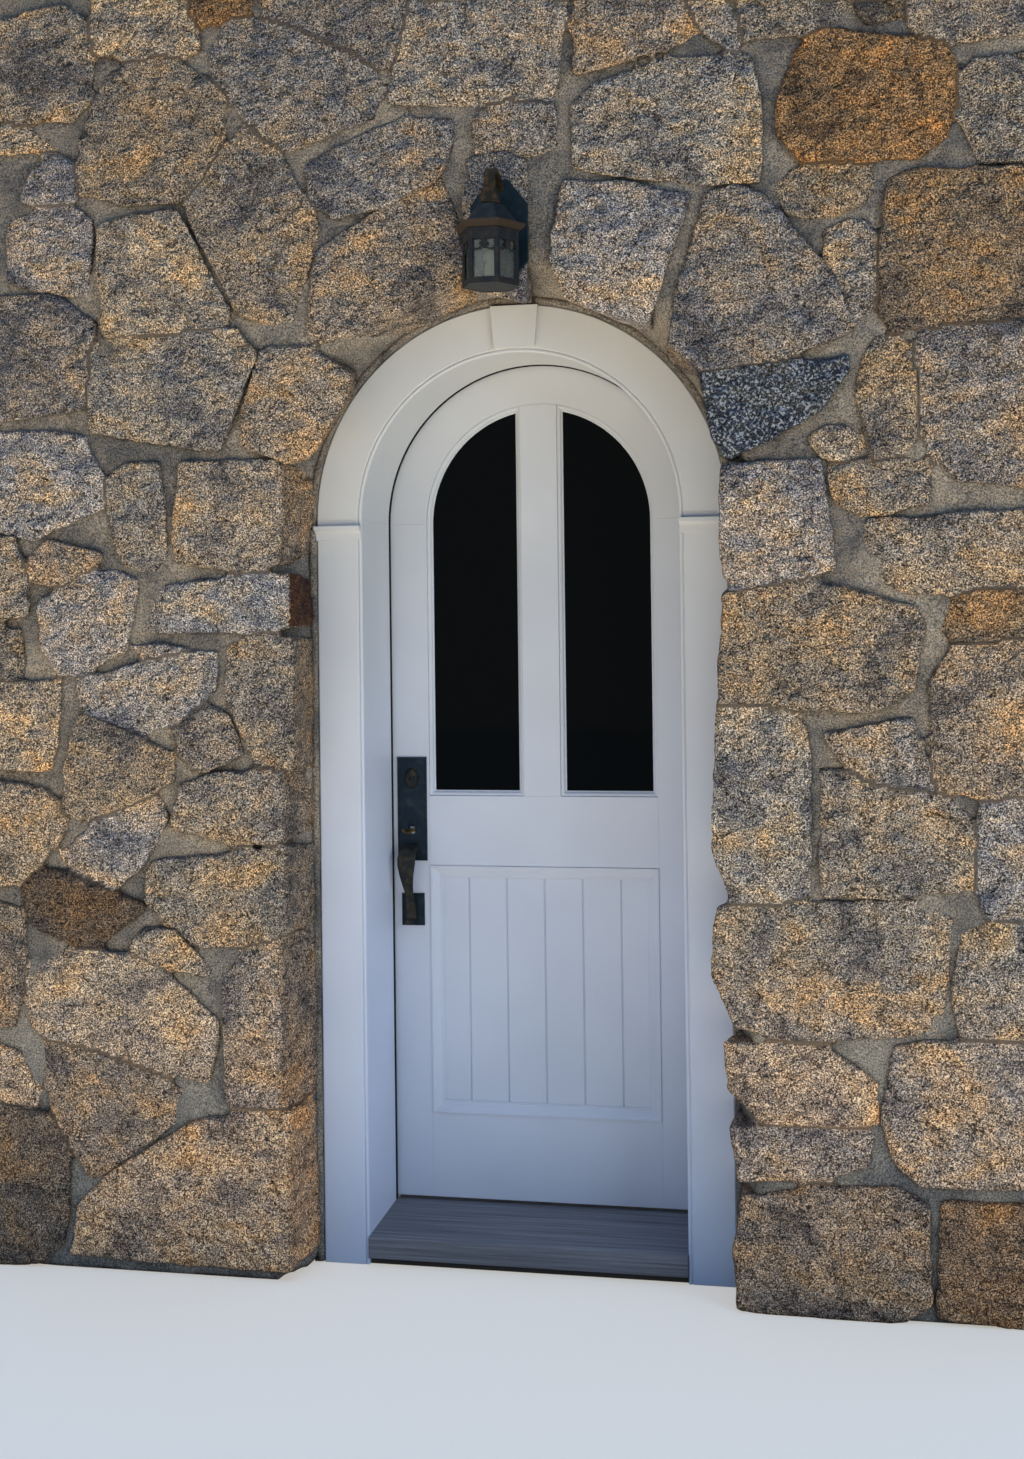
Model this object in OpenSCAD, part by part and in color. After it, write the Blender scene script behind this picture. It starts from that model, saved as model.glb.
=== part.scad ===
// Arched entrance door, glazed above and panelled below, in a white cased frame
// set in a thick rubble stone wall, with a small hexagonal lantern over it.
// X runs to the right along the wall, Y into the wall and Z up. The origin is on the
// ground, on the doorway's centre line, half way through the wall. All sizes are in mm.

/* [Wall] */
// Width of the piece of wall
wall_w = 2600; // [1600:10:3600]
// Height of the wall
wall_h = 3000; // [2500:10:3600]
// Thickness of the wall
wall_t = 500; // [400:5:650]
// Gap between the casing's outer edge and the masonry
casing_gap = 9.5; // [5:0.5:20]
// Height of the arch's springing line above the ground
spring_z = 1713; // [1500:1:2000]
// Height of the stonework left and right of the arch, above its crown
crown_cover = 90; // [60:5:200]

/* [Frame] */
// Clear half width between the stops
stop_half = 371.5; // [330:0.5:420]
// Distance from the wall's outer face back to the casing's face
casing_setback = 150; // [60:5:180]
// Thickness of the casing boards
casing_t = 22; // [16:1:30]
// Width of the casing
casing_face_w = 109; // [80:1:112]
// Radius of the bead along the casing's inner edge
bead_r = 4.5; // [3:0.5:6]
// Distance from the casing's face back to the door's outer face
door_setback = 200; // [150:5:230]
// Gap round the door's edge
door_gap = 5; // [4:0.5:6]
// Thickness of the weather seal, a soft black bulb
seal_t = 12; // [6:0.5:15]
// How far the seal shows past the stops
seal_show = 2.5; // [1:0.5:5]
// Width of the plain inner casing
inner_casing_w = 72; // [50:1:80]
// Thickness of the inner casing
inner_casing_t = 18; // [14:1:24]
// Strip of frame left bare inside the inner casing
inner_reveal = 12; // [10:0.5:16]

/* [Imposts and keystone] */
// Height of an impost moulding
impost_h = 33; // [24:1:44]
// Projection of an impost moulding
impost_d = 13; // [8:1:18]
// Height of the square band along the impost's top
impost_band = 9; // [5:0.5:14]
// Projection of the impost's foot
impost_foot = 3; // [1:0.5:5]
// Top of the impost below the springing line
impost_drop = 13; // [0:1:30]
// Width of the keystone at its top
key_top_w = 111; // [80:1:140]
// Width of the keystone at its foot
key_foot_w = 95; // [60:1:120]
// Projection of the keystone
key_d = 11; // [6:1:18]

/* [Sill] */
// Height of the sill under the door
sill_z = 87; // [75:1:110]
// Height of the sill's front edge
sill_front_z = 65; // [50:1:72]
// Thickness of the sill's nosing
sill_nose_t = 49; // [30:1:52]
// Projection of the sill's nosing in front of the casing
sill_proud = 4; // [0:0.5:20]
// Recess of the base under the nosing
base_recess = 14; // [5:1:30]

/* [Door] */
// Thickness of the door
leaf_t = 44.5; // [38:0.5:57]
// Lap of the door behind the stops
leaf_lap = 9.5; // [7:0.5:13]
// Height of the door's foot above the sill
foot_gap = 9; // [6:0.5:14]
// Height of the bottom rail's top above the ground
bottom_rail_z = 297; // [240:1:360]
// Height of the lock rail's foot
lock_rail_z0 = 891; // [800:1:940]
// Height of the lock rail's top
lock_rail_z1 = 1058.5; // [1000:0.5:1200]
// Width of the stiles and of the arched rail
stile_w = 101; // [80:1:130]
// Width of the centre mullion
mullion_w = 90; // [60:1:120]

/* [Glass and mouldings] */
// Thickness of the sealed glass unit
glass_t = 18; // [6:1:24]
// Width of the moulding round the glass
glass_mould_w = 13; // [9:0.5:18]
// Width of the moulding round the panel
panel_mould_w = 30; // [20:1:40]
// Thickness of the boarded panel
panel_t = 25; // [18:1:30]
// Number of boards in the panel
board_count = 6; // [4:1:8]
// Width of the V groove between two boards
groove_w = 5; // [3:0.5:8]

/* [Handle] */
// Distance of the handle from the door's lock edge
handle_inset = 58; // [50:1:66]
// Height of the handle set's lower plate centre
handle_z = 785; // [740:1:850]
// Width of the upper plate
plate_w = 73; // [50:1:80]
// Height of the upper plate
plate_h = 249; // [200:1:280]
// Width of the lower plate
foot_plate_w = 56; // [40:1:60]
// Height of the lower plate
foot_plate_h = 77; // [60:1:90]
// Thickness of both plates
plate_t = 4; // [3:0.5:6]
// Width of bare door between the two plates
plate_gap = 79; // [60:1:110]
// Distance of the border line in from each plate's edge
border_in = 4; // [3:0.5:6]
// Width of the border line
border_w = 1.5; // [1:0.1:2]
// Projection of the grip from the door
grip_d = 57; // [50:1:70]
// Greatest width of the grip's blade
grip_w = 42; // [30:1:50]
// Thickness of the grip's blade
grip_t = 6; // [5:0.5:8]
// Height of the lock cylinder's oval collar
collar_h = 51; // [40:1:56]
// Width of the lock cylinder's oval collar
collar_w = 36; // [30:1:44]
// Distance of the lock cylinder below the upper plate's top
collar_drop = 51; // [35:1:70]
// Height of the thumb piece above the upper plate's foot
thumb_rise = 73; // [60:1:90]
// Width of the thumb piece
thumb_w = 34; // [24:1:40]
// Width of the thumb piece's stem where it passes the plate
thumb_stem_w = 12; // [8:1:16]
// Reach of the thumb piece from the door
thumb_reach = 44; // [34:1:52]

/* [Hinges] */
// Height of a hinge
hinge_h = 100; // [76:2:120]
// Radius of the hinge knuckles
knuckle_r = 6.3; // [5.5:0.1:7]
// Radius of the hinge pins
pin_r = 3; // [2.5:0.1:4]
// Clearance of the pins in the door's knuckles
pin_clear = 0.06; // [0.03:0.01:0.1]

/* [Lantern] */
// Clearance between the eave and the backplate
lantern_gap = 2; // [1:0.5:30]
// Offset of the lantern to the right of the doorway's centre line
lantern_x = 9; // [-40:1:40]
// Height of the lantern's foot above the casing's crown
lantern_rise = -6.5; // [-20:0.5:100]
// Width of the glazed body across its corners
lantern_w = 126; // [90:1:150]
// Height of the glazed body
lantern_h = 119; // [90:1:200]
// Width of the roof across its eave corners
eave_w = 157; // [120:1:165]
// Width of the roof's foot, inside the eave moulding
roof_foot_w = 124; // [100:1:140]
// Width of the roof's top
roof_top_w = 59; // [44:1:80]
// Height of the roof
roof_h = 40; // [25:1:70]
// Height of the eave moulding
eave_h = 16; // [10:1:24]
// Height of the neck over the roof
neck_h = 37; // [24:1:50]
// Height of the arm over the neck
arm_rise = 47; // [34:1:60]
// Width of the arm's strap
arm_w = 24; // [16:1:30]
// Thickness of the arm's strap
arm_t = 8; // [6:1:12]
// Width of a corner post
post_w = 12; // [8:1:16]
// Height of the traceried band under the eave
band_h = 50; // [40:1:60]
// Height of the rail at the body's foot
rail_h = 13; // [8:1:20]
// Width of the backplate
backplate_w = 128; // [90:1:140]
// Width of the backplate's top
backplate_top_w = 40; // [24:1:80]
// Thickness of the backplate
backplate_t = 8; // [5:1:18]

/* [Hidden] */
$fn = 64;

seat = 0.3; // clearance between curved or lapped pieces that rest against each other
stone_color = [0.55, 0.50, 0.45];
paint_color = [0.88, 0.87, 0.86];
door_color = [0.86, 0.87, 0.90];
sill_color = [0.45, 0.38, 0.32];
glass_color = [0.10, 0.13, 0.16, 0.7];
bronze_color = [0.16, 0.15, 0.13];
steel_color = [0.55, 0.55, 0.55];
lantern_color = [0.15, 0.18, 0.18];

// Depths through the wall
wall_y0 = -wall_t / 2;
wall_y1 = wall_t / 2;
casing_y0 = wall_y0 + casing_setback;
casing_y1 = casing_y0 + casing_t;
leaf_y0 = casing_y0 + door_setback;
leaf_y1 = leaf_y0 + leaf_t;
stop_y = leaf_y0 - seal_t - seat;
inner_casing_y1 = leaf_y1 + inner_casing_t;

// Half widths and radii about the doorway's centre line
leaf_half = stop_half + leaf_lap;
light_half = leaf_half - stile_w;
pocket_half = leaf_half + door_gap;
casing_half = stop_half + casing_face_w;
open_half = casing_half + casing_gap;
frame_half = open_half - seat;
inner_casing_half = pocket_half + inner_reveal;
crown_z = spring_z + open_half + crown_cover;

// Heights in the door
leaf_z = sill_z + foot_gap;
panel_half = light_half - seat;
mullion_half = mullion_w / 2;
mid_y = (leaf_y0 + leaf_y1) / 2;
glass_y0 = mid_y - glass_t / 2;
glass_y1 = mid_y + glass_t / 2;
panel_y0 = mid_y - panel_t / 2;
panel_y1 = mid_y + panel_t / 2;

// Handle and hinge places
handle_x = -(leaf_half - handle_inset);
plate_y = leaf_y0 - plate_t;
foot_plate_z = handle_z;
plate_foot_z = handle_z + foot_plate_h / 2 + plate_gap;
plate_z = plate_foot_z + plate_h / 2;
thumb_z = plate_foot_z + thumb_rise;
cylinder_z = plate_foot_z + plate_h - collar_drop;
grip_top = plate_foot_z + 42;
grip_foot = foot_plate_z - 34;
hinge_leaf_t = door_gap / 2 - 0.3;
pivot_x = leaf_half + door_gap / 2;
pivot_y = leaf_y1 + knuckle_r + 0.7;
hinge_zs = [leaf_z + 190, (leaf_z + spring_z) / 2 + 40, spring_z - 110];
knuckle_count = 5;
knuckle_h = hinge_h / knuckle_count;

// Lantern places
lantern_y = wall_y0 - backplate_t - lantern_gap - eave_w / 2 * cos(30);
lantern_z = spring_z + casing_half + lantern_rise;
lantern_top = lantern_z + lantern_h;
roof_top = lantern_top + eave_h + roof_h;
neck_top = roof_top + neck_h;

// Points of an arc about [cx, cy] from angle a0 to a1
function arc(cx, cy, r, a0, a1, n) =
    [for (i = [0:n]) let (a = a0 + (a1 - a0) * i / n) [cx + r * cos(a), cy + r * sin(a)]];

// An outline in X and Z, as thick as the stretch from y0 to y1
module upright(y0, y1) {
    translate([0, y1, 0])
        rotate([90, 0, 0])
            linear_extrude(y1 - y0)
                children();
}

// A profile of [distance from the centre line, depth] swept round the arch
module arch_sweep(profile, a0 = 0, a1 = 180) {
    translate([0, 0, spring_z])
        rotate([90, 0, 0])
            rotate([0, 0, a0])
                rotate_extrude(angle = a1 - a0, $fn = 128)
                    polygon([for (p = profile) [p[0], -p[1]]]);
}

// The same profile run straight up the right-hand side, from z0 to z1
module leg_sweep(profile, z0, z1) {
    translate([0, 0, z0])
        linear_extrude(z1 - z0)
            polygon(profile);
}

module box(x0, x1, y0, y1, z0, z1) {
    translate([x0, y0, z0])
        cube([x1 - x0, y1 - y0, z1 - z0]);
}

// Wall: plain stone blocks beside the doorway, round its arch and over it

module wall_side() {
    color(stone_color)
        box(open_half, wall_w / 2, wall_y0, wall_y1, 0, spring_z);
}

module wall_haunch() {
    color(stone_color)
        difference() {
            box(0, wall_w / 2, wall_y0, wall_y1, spring_z, crown_z);
            translate([0, 0, spring_z])
                rotate([90, 0, 0])
                    cylinder(r = open_half, h = 2 * wall_t, center = true, $fn = 128);
        }
}

module wall_left() {
    mirror([1, 0, 0])
        wall_side();
}

module wall_right() {
    wall_side();
}

module wall_head_left() {
    mirror([1, 0, 0])
        wall_haunch();
}

module wall_head_right() {
    wall_haunch();
}

module wall_above() {
    color(stone_color)
        box(-wall_w / 2, wall_w / 2, wall_y0, wall_y1, crown_z, wall_h);
}

// Sill: a weathered timber with a sloping top, on a masonry base

module sill_base() {
    color(stone_color)
        box(-stop_half, stop_half, casing_y0 - sill_proud + base_recess, leaf_y1,
            0, sill_front_z - sill_nose_t);
}

module sill() {
    front = casing_y0 - sill_proud;
    foot = sill_front_z - sill_nose_t;
    color(sill_color)
        translate([-stop_half, 0, 0])
            rotate([90, 0, 90])
                linear_extrude(2 * stop_half)
                    polygon([
                        [front, foot], [leaf_y1, foot], [leaf_y1, sill_z],
                        [stop_y, sill_z], [front + 3, sill_front_z], [front, sill_front_z - 3]
                    ]);
}

module inner_threshold() {
    color(stone_color)
        box(-open_half, open_half, leaf_y1, wall_y1, 0, sill_z);
}

// Frame: rabbeted jambs and head, with the casing on its face

jamb_profile = [
    [stop_half, casing_y1], [frame_half, casing_y1], [frame_half, leaf_y1],
    [pocket_half, leaf_y1], [pocket_half, stop_y], [stop_half, stop_y]
];

module jamb() {
    color(paint_color) {
        leg_sweep(jamb_profile, sill_z, spring_z);
        box(stop_half, frame_half, casing_y1, leaf_y1, 0, sill_z);
    }
}

module jamb_left() {
    mirror([1, 0, 0])
        jamb();
}

module jamb_right() {
    jamb();
}

module jamb_head() {
    color(paint_color)
        arch_sweep(jamb_profile);
}

bead_end = 315; // degrees round the bead, where its quirk cuts in
casing_profile = concat(
    [[stop_half, casing_y1]],
    arc(stop_half + bead_r, casing_y0 + bead_r, bead_r, 180, bead_end, 5),
    [
        [stop_half + 2 * bead_r, casing_y0 + 3], [stop_half + 2 * bead_r + 2, casing_y0],
        [casing_half - 3, casing_y0], [casing_half, casing_y0 + 3], [casing_half, casing_y1]
    ]
);

module casing_left() {
    mirror([1, 0, 0])
        casing_right();
}

module casing_right() {
    color(paint_color)
        leg_sweep(casing_profile, 0, spring_z);
}

module casing_arch() {
    color(paint_color)
        arch_sweep(casing_profile);
}

module keystone() {
    foot_z = spring_z + stop_half + 2 * bead_r + 3;
    top_z = spring_z + casing_half - 4;
    color(paint_color)
        upright(casing_y0 - key_d, casing_y0)
            polygon([
                [-key_foot_w / 2, foot_z], [key_foot_w / 2, foot_z],
                [key_top_w / 2, top_z], [-key_top_w / 2, top_z]
            ]);
}

module impost_right() {
    top = spring_z - impost_drop;
    cove_r = impost_d - impost_foot;
    color(paint_color)
        translate([stop_half + 1, 0, 0])
            rotate([90, 0, 90])
                linear_extrude(casing_face_w + 2)
                    polygon(concat(
                        [[casing_y0, top - impost_h], [casing_y0, top], [casing_y0 - impost_d, top]],
                        arc(casing_y0 - impost_d, top - impost_band - cove_r, cove_r, 90, 0, 4),
                        [[casing_y0 - impost_foot, top - impost_h]]
                    ));
}

module impost_left() {
    mirror([1, 0, 0])
        impost_right();
}

seal_profile = concat(
    [[leaf_half - 1, stop_y + seal_t], [leaf_half - 1, stop_y]],
    arc(stop_half - seal_show + seal_t / 2, stop_y + seal_t / 2, seal_t / 2, 270, 90, 6)
);

module weather_seal() {
    color("dimgray") {
        arch_sweep(seal_profile);
        leg_sweep(seal_profile, sill_z + 1, spring_z);
        mirror([1, 0, 0])
            leg_sweep(seal_profile, sill_z + 1, spring_z);
    }
}

inner_casing_profile = [
    [inner_casing_half, leaf_y1], [inner_casing_half + inner_casing_w, leaf_y1],
    [inner_casing_half + inner_casing_w, inner_casing_y1 - 2],
    [inner_casing_half + inner_casing_w - 2, inner_casing_y1],
    [inner_casing_half + 4, inner_casing_y1], [inner_casing_half, inner_casing_y1 - 4]
];

module inner_casing() {
    color(paint_color) {
        arch_sweep(inner_casing_profile);
        leg_sweep(inner_casing_profile, sill_z, spring_z);
        mirror([1, 0, 0])
            leg_sweep(inner_casing_profile, sill_z, spring_z);
    }
}

module strike_plate() {
    color(bronze_color)
        box(-pocket_half, -pocket_half + 1.5, leaf_y0 + 8, leaf_y1 - 8, thumb_z - 60, thumb_z + 60);
}

// Hinges: five knuckles each, three on the frame's leaf and two on the door's

module hinge_knuckles(side) {
    for (z = hinge_zs)
        for (i = [side:2:knuckle_count - 1])
            translate([pivot_x, pivot_y, z - hinge_h / 2 + i * knuckle_h + (i == 0 ? 0 : 0.3)])
                difference() {
                    cylinder(r = knuckle_r, h = knuckle_h - (i == 0 || i == 4 ? 0.3 : 0.6), $fn = 32);
                    translate([0, 0, -1])
                        cylinder(r = pin_r + pin_clear, h = knuckle_h + 2, $fn = 32);
                }
}

module hinge_leaves(side, x0, x1) {
    difference() {
        union() {
            for (z = hinge_zs)
                box(x0, x1, leaf_y0 + 4, pivot_y, z - hinge_h / 2, z + hinge_h / 2);
        }
        for (z = hinge_zs)
            for (i = [1 - side:2:knuckle_count - 1])
                translate([pivot_x, pivot_y, z - hinge_h / 2 + i * knuckle_h - 0.3])
                    cylinder(r = knuckle_r + 0.6, h = knuckle_h + 0.6, $fn = 32);
        for (z = hinge_zs)
            translate([pivot_x, pivot_y, z - hinge_h])
                cylinder(r = pin_r + pin_clear, h = 2 * hinge_h, $fn = 32);
    }
    hinge_knuckles(side);
}

module hinge_frame_leaves() {
    color(steel_color)
        hinge_leaves(0, pocket_half - hinge_leaf_t, pocket_half);
}

module hinge_door_leaves() {
    color(steel_color)
        hinge_leaves(1, leaf_half, leaf_half + hinge_leaf_t);
}

module hinge_pins() {
    color(steel_color)
        for (z = hinge_zs)
            translate([pivot_x, pivot_y, z - hinge_h / 2 - 5]) {
                cylinder(r = pin_r, h = hinge_h + 10, $fn = 32);
                cylinder(r = knuckle_r, h = 5, $fn = 32);
                translate([0, 0, hinge_h + 5])
                    cylinder(r = knuckle_r, h = 5, $fn = 32);
            }
}

// Door: stiles, rails, mullion and an arched head, glazed above and boarded below

module lock_stile() {
    color(door_color)
        box(-leaf_half, -light_half, leaf_y0, leaf_y1, leaf_z, spring_z);
}

module hinge_stile() {
    color(door_color)
        box(light_half, leaf_half, leaf_y0, leaf_y1, leaf_z, spring_z);
}

module arch_rail() {
    color(door_color)
        arch_sweep([
            [light_half, leaf_y0], [leaf_half, leaf_y0], [leaf_half, leaf_y1], [light_half, leaf_y1]
        ]);
}

module lock_rail() {
    color(door_color)
        box(-light_half, light_half, leaf_y0, leaf_y1, lock_rail_z0, lock_rail_z1);
}

module bottom_rail() {
    color(door_color)
        box(-light_half, light_half, leaf_y0, leaf_y1, leaf_z, bottom_rail_z);
}

module mullion() {
    color(door_color)
        upright(leaf_y0, leaf_y1)
            intersection() {
                translate([-mullion_half, lock_rail_z1])
                    square([mullion_w, spring_z + light_half - lock_rail_z1]);
                arched_opening(light_half - seat);
            }
}

// The outline inside an arch of radius r, down to the lock rail
module arched_opening(r) {
    translate([0, spring_z])
        circle(r = r, $fn = 128);
    translate([-r, lock_rail_z1])
        square([2 * r, spring_z - lock_rail_z1]);
}

// The outline of the right-hand light, drawn in from the woodwork
module light_outline(inset) {
    intersection() {
        arched_opening(light_half - inset);
        translate([mullion_half + inset, lock_rail_z1 + inset])
            square([light_half, spring_z + light_half - lock_rail_z1]);
    }
}

module glass_right() {
    color(glass_color)
        upright(glass_y0, glass_y1)
            light_outline(seat);
}

module glass_left() {
    mirror([1, 0, 0])
        glass_right();
}

// Section of a glazing moulding: [distance in from the woodwork, height above the glass]
glass_mould = concat(
    [[0, 0], [0, 10], [2, 10]],
    arc(2, 2, 8, 70, 10, 3),
    [[glass_mould_w, 2], [glass_mould_w, 0]]
);

module glazing_mould(face, dir) {
    intersection() {
        upright(face - 11, face + 11)
            light_outline(seat);
        union() {
            arch_sweep([for (p = glass_mould) [light_half - p[0], face + dir * p[1]]], 0, 90);
            leg_sweep([for (p = glass_mould) [light_half - p[0], face + dir * p[1]]],
                lock_rail_z1, spring_z);
            leg_sweep([for (p = glass_mould) [mullion_half + p[0], face + dir * p[1]]],
                lock_rail_z1, spring_z + light_half);
            translate([mullion_half, 0, lock_rail_z1])
                rotate([90, 0, 90])
                    linear_extrude(light_half - mullion_half)
                        polygon([for (p = glass_mould) [face + dir * p[1], p[0]]]);
        }
    }
}

module glazing_mould_right() {
    color(door_color) {
        glazing_mould(glass_y0, -1);
        glazing_mould(glass_y1, 1);
    }
}

module glazing_mould_left() {
    mirror([1, 0, 0])
        glazing_mould_right();
}

// The boarded panel, with a V groove on both faces between each two boards
module lower_panel() {
    board_w = 2 * light_half / board_count;
    x0 = -panel_half;
    front = [for (i = [1:board_count - 1]) let (x = -light_half + i * board_w)
        each [[x - groove_w / 2, panel_y0], [x, panel_y0 + groove_w * 0.7],
            [x + groove_w / 2, panel_y0]]];
    back = [for (p = front) [p[0], panel_y0 + panel_y1 - p[1]]];
    color(door_color)
        translate([0, 0, bottom_rail_z + seat])
            linear_extrude(lock_rail_z0 - bottom_rail_z - 2 * seat)
                polygon(concat(
                    [[x0, panel_y0]], front, [[-x0, panel_y0], [-x0, panel_y1]],
                    [for (i = [len(back) - 1:-1:0]) back[i]], [[x0, panel_y1]]
                ));
}

// Section of the panel moulding: [distance in from the woodwork, height above the panel]
panel_mould_profile = [
    [0, 0], [0, 12.5], [4, 12.5], [6, 10.5], [10, 9.5], [17, 5.5], [22, 3], [26, 3],
    [27, 1.5], [panel_mould_w, 1.5], [panel_mould_w, 0]
];

module panel_frame(face, dir) {
    for (s = [0, 1])
        mirror([s, 0, 0])
            leg_sweep([for (p = panel_mould_profile) [panel_half - p[0], face + dir * p[1]]],
                bottom_rail_z + seat, lock_rail_z0 - seat);
    for (side = [[bottom_rail_z + seat, 1], [lock_rail_z0 - seat, -1]])
        translate([-panel_half, 0, 0])
            rotate([90, 0, 90])
                linear_extrude(2 * panel_half)
                    polygon([for (p = panel_mould_profile)
                        [face + dir * p[1], side[0] + side[1] * p[0]]]);
}

module panel_mould() {
    color(door_color) {
        panel_frame(panel_y0, -1);
        panel_frame(panel_y1, 1);
    }
}

module door_sweep() {
    color("dimgray")
        box(-leaf_half + 12, leaf_half - 12, mid_y - 5, mid_y + 5, sill_z + 2, leaf_z);
}

// Handle set: two bordered plates, a bowed grip, a dished thumb piece and a lock cylinder

module plate(w, h) {
    upright(plate_y + 0.8, leaf_y0)
        square([w, h], center = true);
    upright(plate_y, plate_y + 0.8)
        difference() {
            square([w, h], center = true);
            difference() {
                square([w - 2 * border_in, h - 2 * border_in], center = true);
                square([w - 2 * border_in - 2 * border_w, h - 2 * border_in - 2 * border_w],
                    center = true);
            }
        }
}

module handle_plates() {
    color(bronze_color)
        difference() {
            union() {
                translate([handle_x, 0, plate_z])
                    plate(plate_w, plate_h);
                translate([handle_x, 0, foot_plate_z])
                    plate(foot_plate_w, foot_plate_h);
            }
            box(handle_x - thumb_stem_w / 2 - seat, handle_x + thumb_stem_w / 2 + seat, plate_y - 1,
                leaf_y0 + 1, thumb_z - 9, thumb_z + 9);
        }
}

// The grip's front view: [share of its height, share of its greatest half width]
grip_front = [
    [1, 0.62], [0.96, 0.8], [0.9, 0.97], [0.83, 1.03], [0.76, 1], [0.66, 0.84], [0.56, 0.68],
    [0.47, 0.54], [0.4, 0.46], [0.33, 0.47], [0.2, 0.53], [0, 0.55]
];

// The grip's side view: [share of its height, share of its projection], down its outer face
grip_side = [
    [0.99, 0.42], [0.93, 0.75], [0.85, 0.95], [0.75, 1], [0.62, 0.95], [0.5, 0.8], [0.4, 0.64],
    [0.28, 0.45], [0.15, 0.3], [0.08, 0.36], [0.03, 0.5]
];

module handle_grip() {
    high = grip_top - grip_foot;
    outer = [for (p = grip_side) [leaf_y0 - grip_d * p[1], grip_foot + high * p[0]]];
    inner = [for (i = [7:-1:1]) [outer[i][0] + grip_t, outer[i][1] - (i < 4 ? grip_t / 2 : 0)]];
    half = [for (p = grip_front) [grip_w / 2 * p[1], grip_foot + high * p[0]]];
    color(bronze_color) {
        intersection() {
            translate([handle_x - grip_w, 0, 0])
                rotate([90, 0, 90])
                    linear_extrude(2 * grip_w)
                        polygon(concat(
                            [[plate_y, grip_top - 2]], outer,
                            [[leaf_y0 - 0.4 * grip_d, grip_foot], [plate_y, grip_foot + 12],
                                [plate_y, foot_plate_z + 8]],
                            inner, [[plate_y, grip_top - 16]]
                        ));
            upright(leaf_y0 - grip_d - 5, plate_y)
                translate([handle_x, 0])
                    polygon(concat(half, [for (i = [len(half) - 1:-1:0]) [-half[i][0], half[i][1]]]));
        }
        // the scroll that the foot of the grip ends in
        translate([handle_x - 0.27 * grip_w, leaf_y0 - 0.43 * grip_d, grip_foot + 6])
            rotate([0, 90, 0])
                cylinder(d = 13, h = 0.54 * grip_w, $fn = 24);
    }
}

// A spoon-shaped thumb piece with a crescent section, on a stem through the plate
module thumb_latch() {
    stem = thumb_stem_w / 2;
    tip = leaf_y0 - thumb_reach;
    color(bronze_color) {
        box(handle_x - stem, handle_x + stem, plate_y - 12, leaf_y0 - 1, thumb_z - 3, thumb_z + 4);
        intersection() {
            upright(tip, plate_y - 8)
                translate([handle_x, thumb_z])
                    difference() {
                        translate([0, 0.85 * thumb_w / 2 + 2])
                            circle(d = 1.2 * thumb_w, $fn = 48);
                        translate([0, 1.1 * thumb_w / 2 + 3])
                            circle(d = 1.3 * thumb_w, $fn = 48);
                    }
            translate([handle_x, 0, thumb_z - thumb_w / 2])
                linear_extrude(0.75 * thumb_w)
                    polygon([
                        [-stem, plate_y - 8], [-thumb_w / 2, plate_y - 16],
                        [-0.45 * thumb_w, tip + 9], [-0.2 * thumb_w, tip], [0.2 * thumb_w, tip],
                        [0.45 * thumb_w, tip + 9], [thumb_w / 2, plate_y - 16], [stem, plate_y - 8]
                    ]);
        }
    }
}

module lock_cylinder() {
    color(bronze_color)
        translate([handle_x, plate_y, cylinder_z])
            rotate([90, 0, 0])
                difference() {
                    union() {
                        scale([collar_w / collar_h, 1, 1])
                            rotate_extrude($fn = 48)
                                polygon([[0, 0], [collar_h / 2, 0], [collar_h / 2 - 1, 3],
                                    [collar_h / 2 - 5, 8], [collar_h / 2 - 10, 10.5], [0, 11]]);
                        cylinder(r = 9, h = 13, $fn = 32);
                    }
                    translate([-1, -4, 8])
                        cube([2, 8, 6]);
                }
}

module inner_knob() {
    color(bronze_color)
        translate([handle_x, leaf_y1, 0])
            rotate([-90, 0, 0]) {
                translate([0, -thumb_z, 0])
                    rotate_extrude($fn = 48)
                        polygon(concat(
                            [[0, 0], [30, 0], [30, 3], [26, 6], [12, 8], [9, 14], [9, 26]],
                            arc(0, 43, 26, -45, 60, 8),
                            [[0, 66]]
                        ));
                translate([0, -cylinder_z, 0])
                    rotate_extrude($fn = 48)
                        polygon([[0, 0], [22, 0], [20, 5], [8, 7], [8, 12], [0, 12]]);
            }
}

module latch_faceplate() {
    color(bronze_color)
        box(-leaf_half - 1, -leaf_half, mid_y - 12, mid_y + 12, thumb_z - 55, thumb_z + 55);
}

// Lantern: a hexagonal glazed cage with tracery, under a low roof, hung on a curved arm

module hexagon(w, h) {
    cylinder(d = w, h = h, $fn = 6);
}

module at_lantern(z) {
    translate([lantern_x, lantern_y, z])
        children();
}

module lantern_backplate() {
    half = backplate_w / 2;
    plate_top = neck_top + 36;
    shoulder = plate_top - 54;
    plate_foot = lantern_z + 40;
    color(lantern_color)
        upright(wall_y0 - backplate_t, wall_y0)
            translate([lantern_x, 0])
                polygon([
                    [-half + 26, plate_foot], [half - 26, plate_foot], [half, plate_foot + 30],
                    [half, shoulder], [backplate_top_w / 2, plate_top],
                    [-backplate_top_w / 2, plate_top], [-half, shoulder], [-half, plate_foot + 30]
                ]);
}

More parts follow.
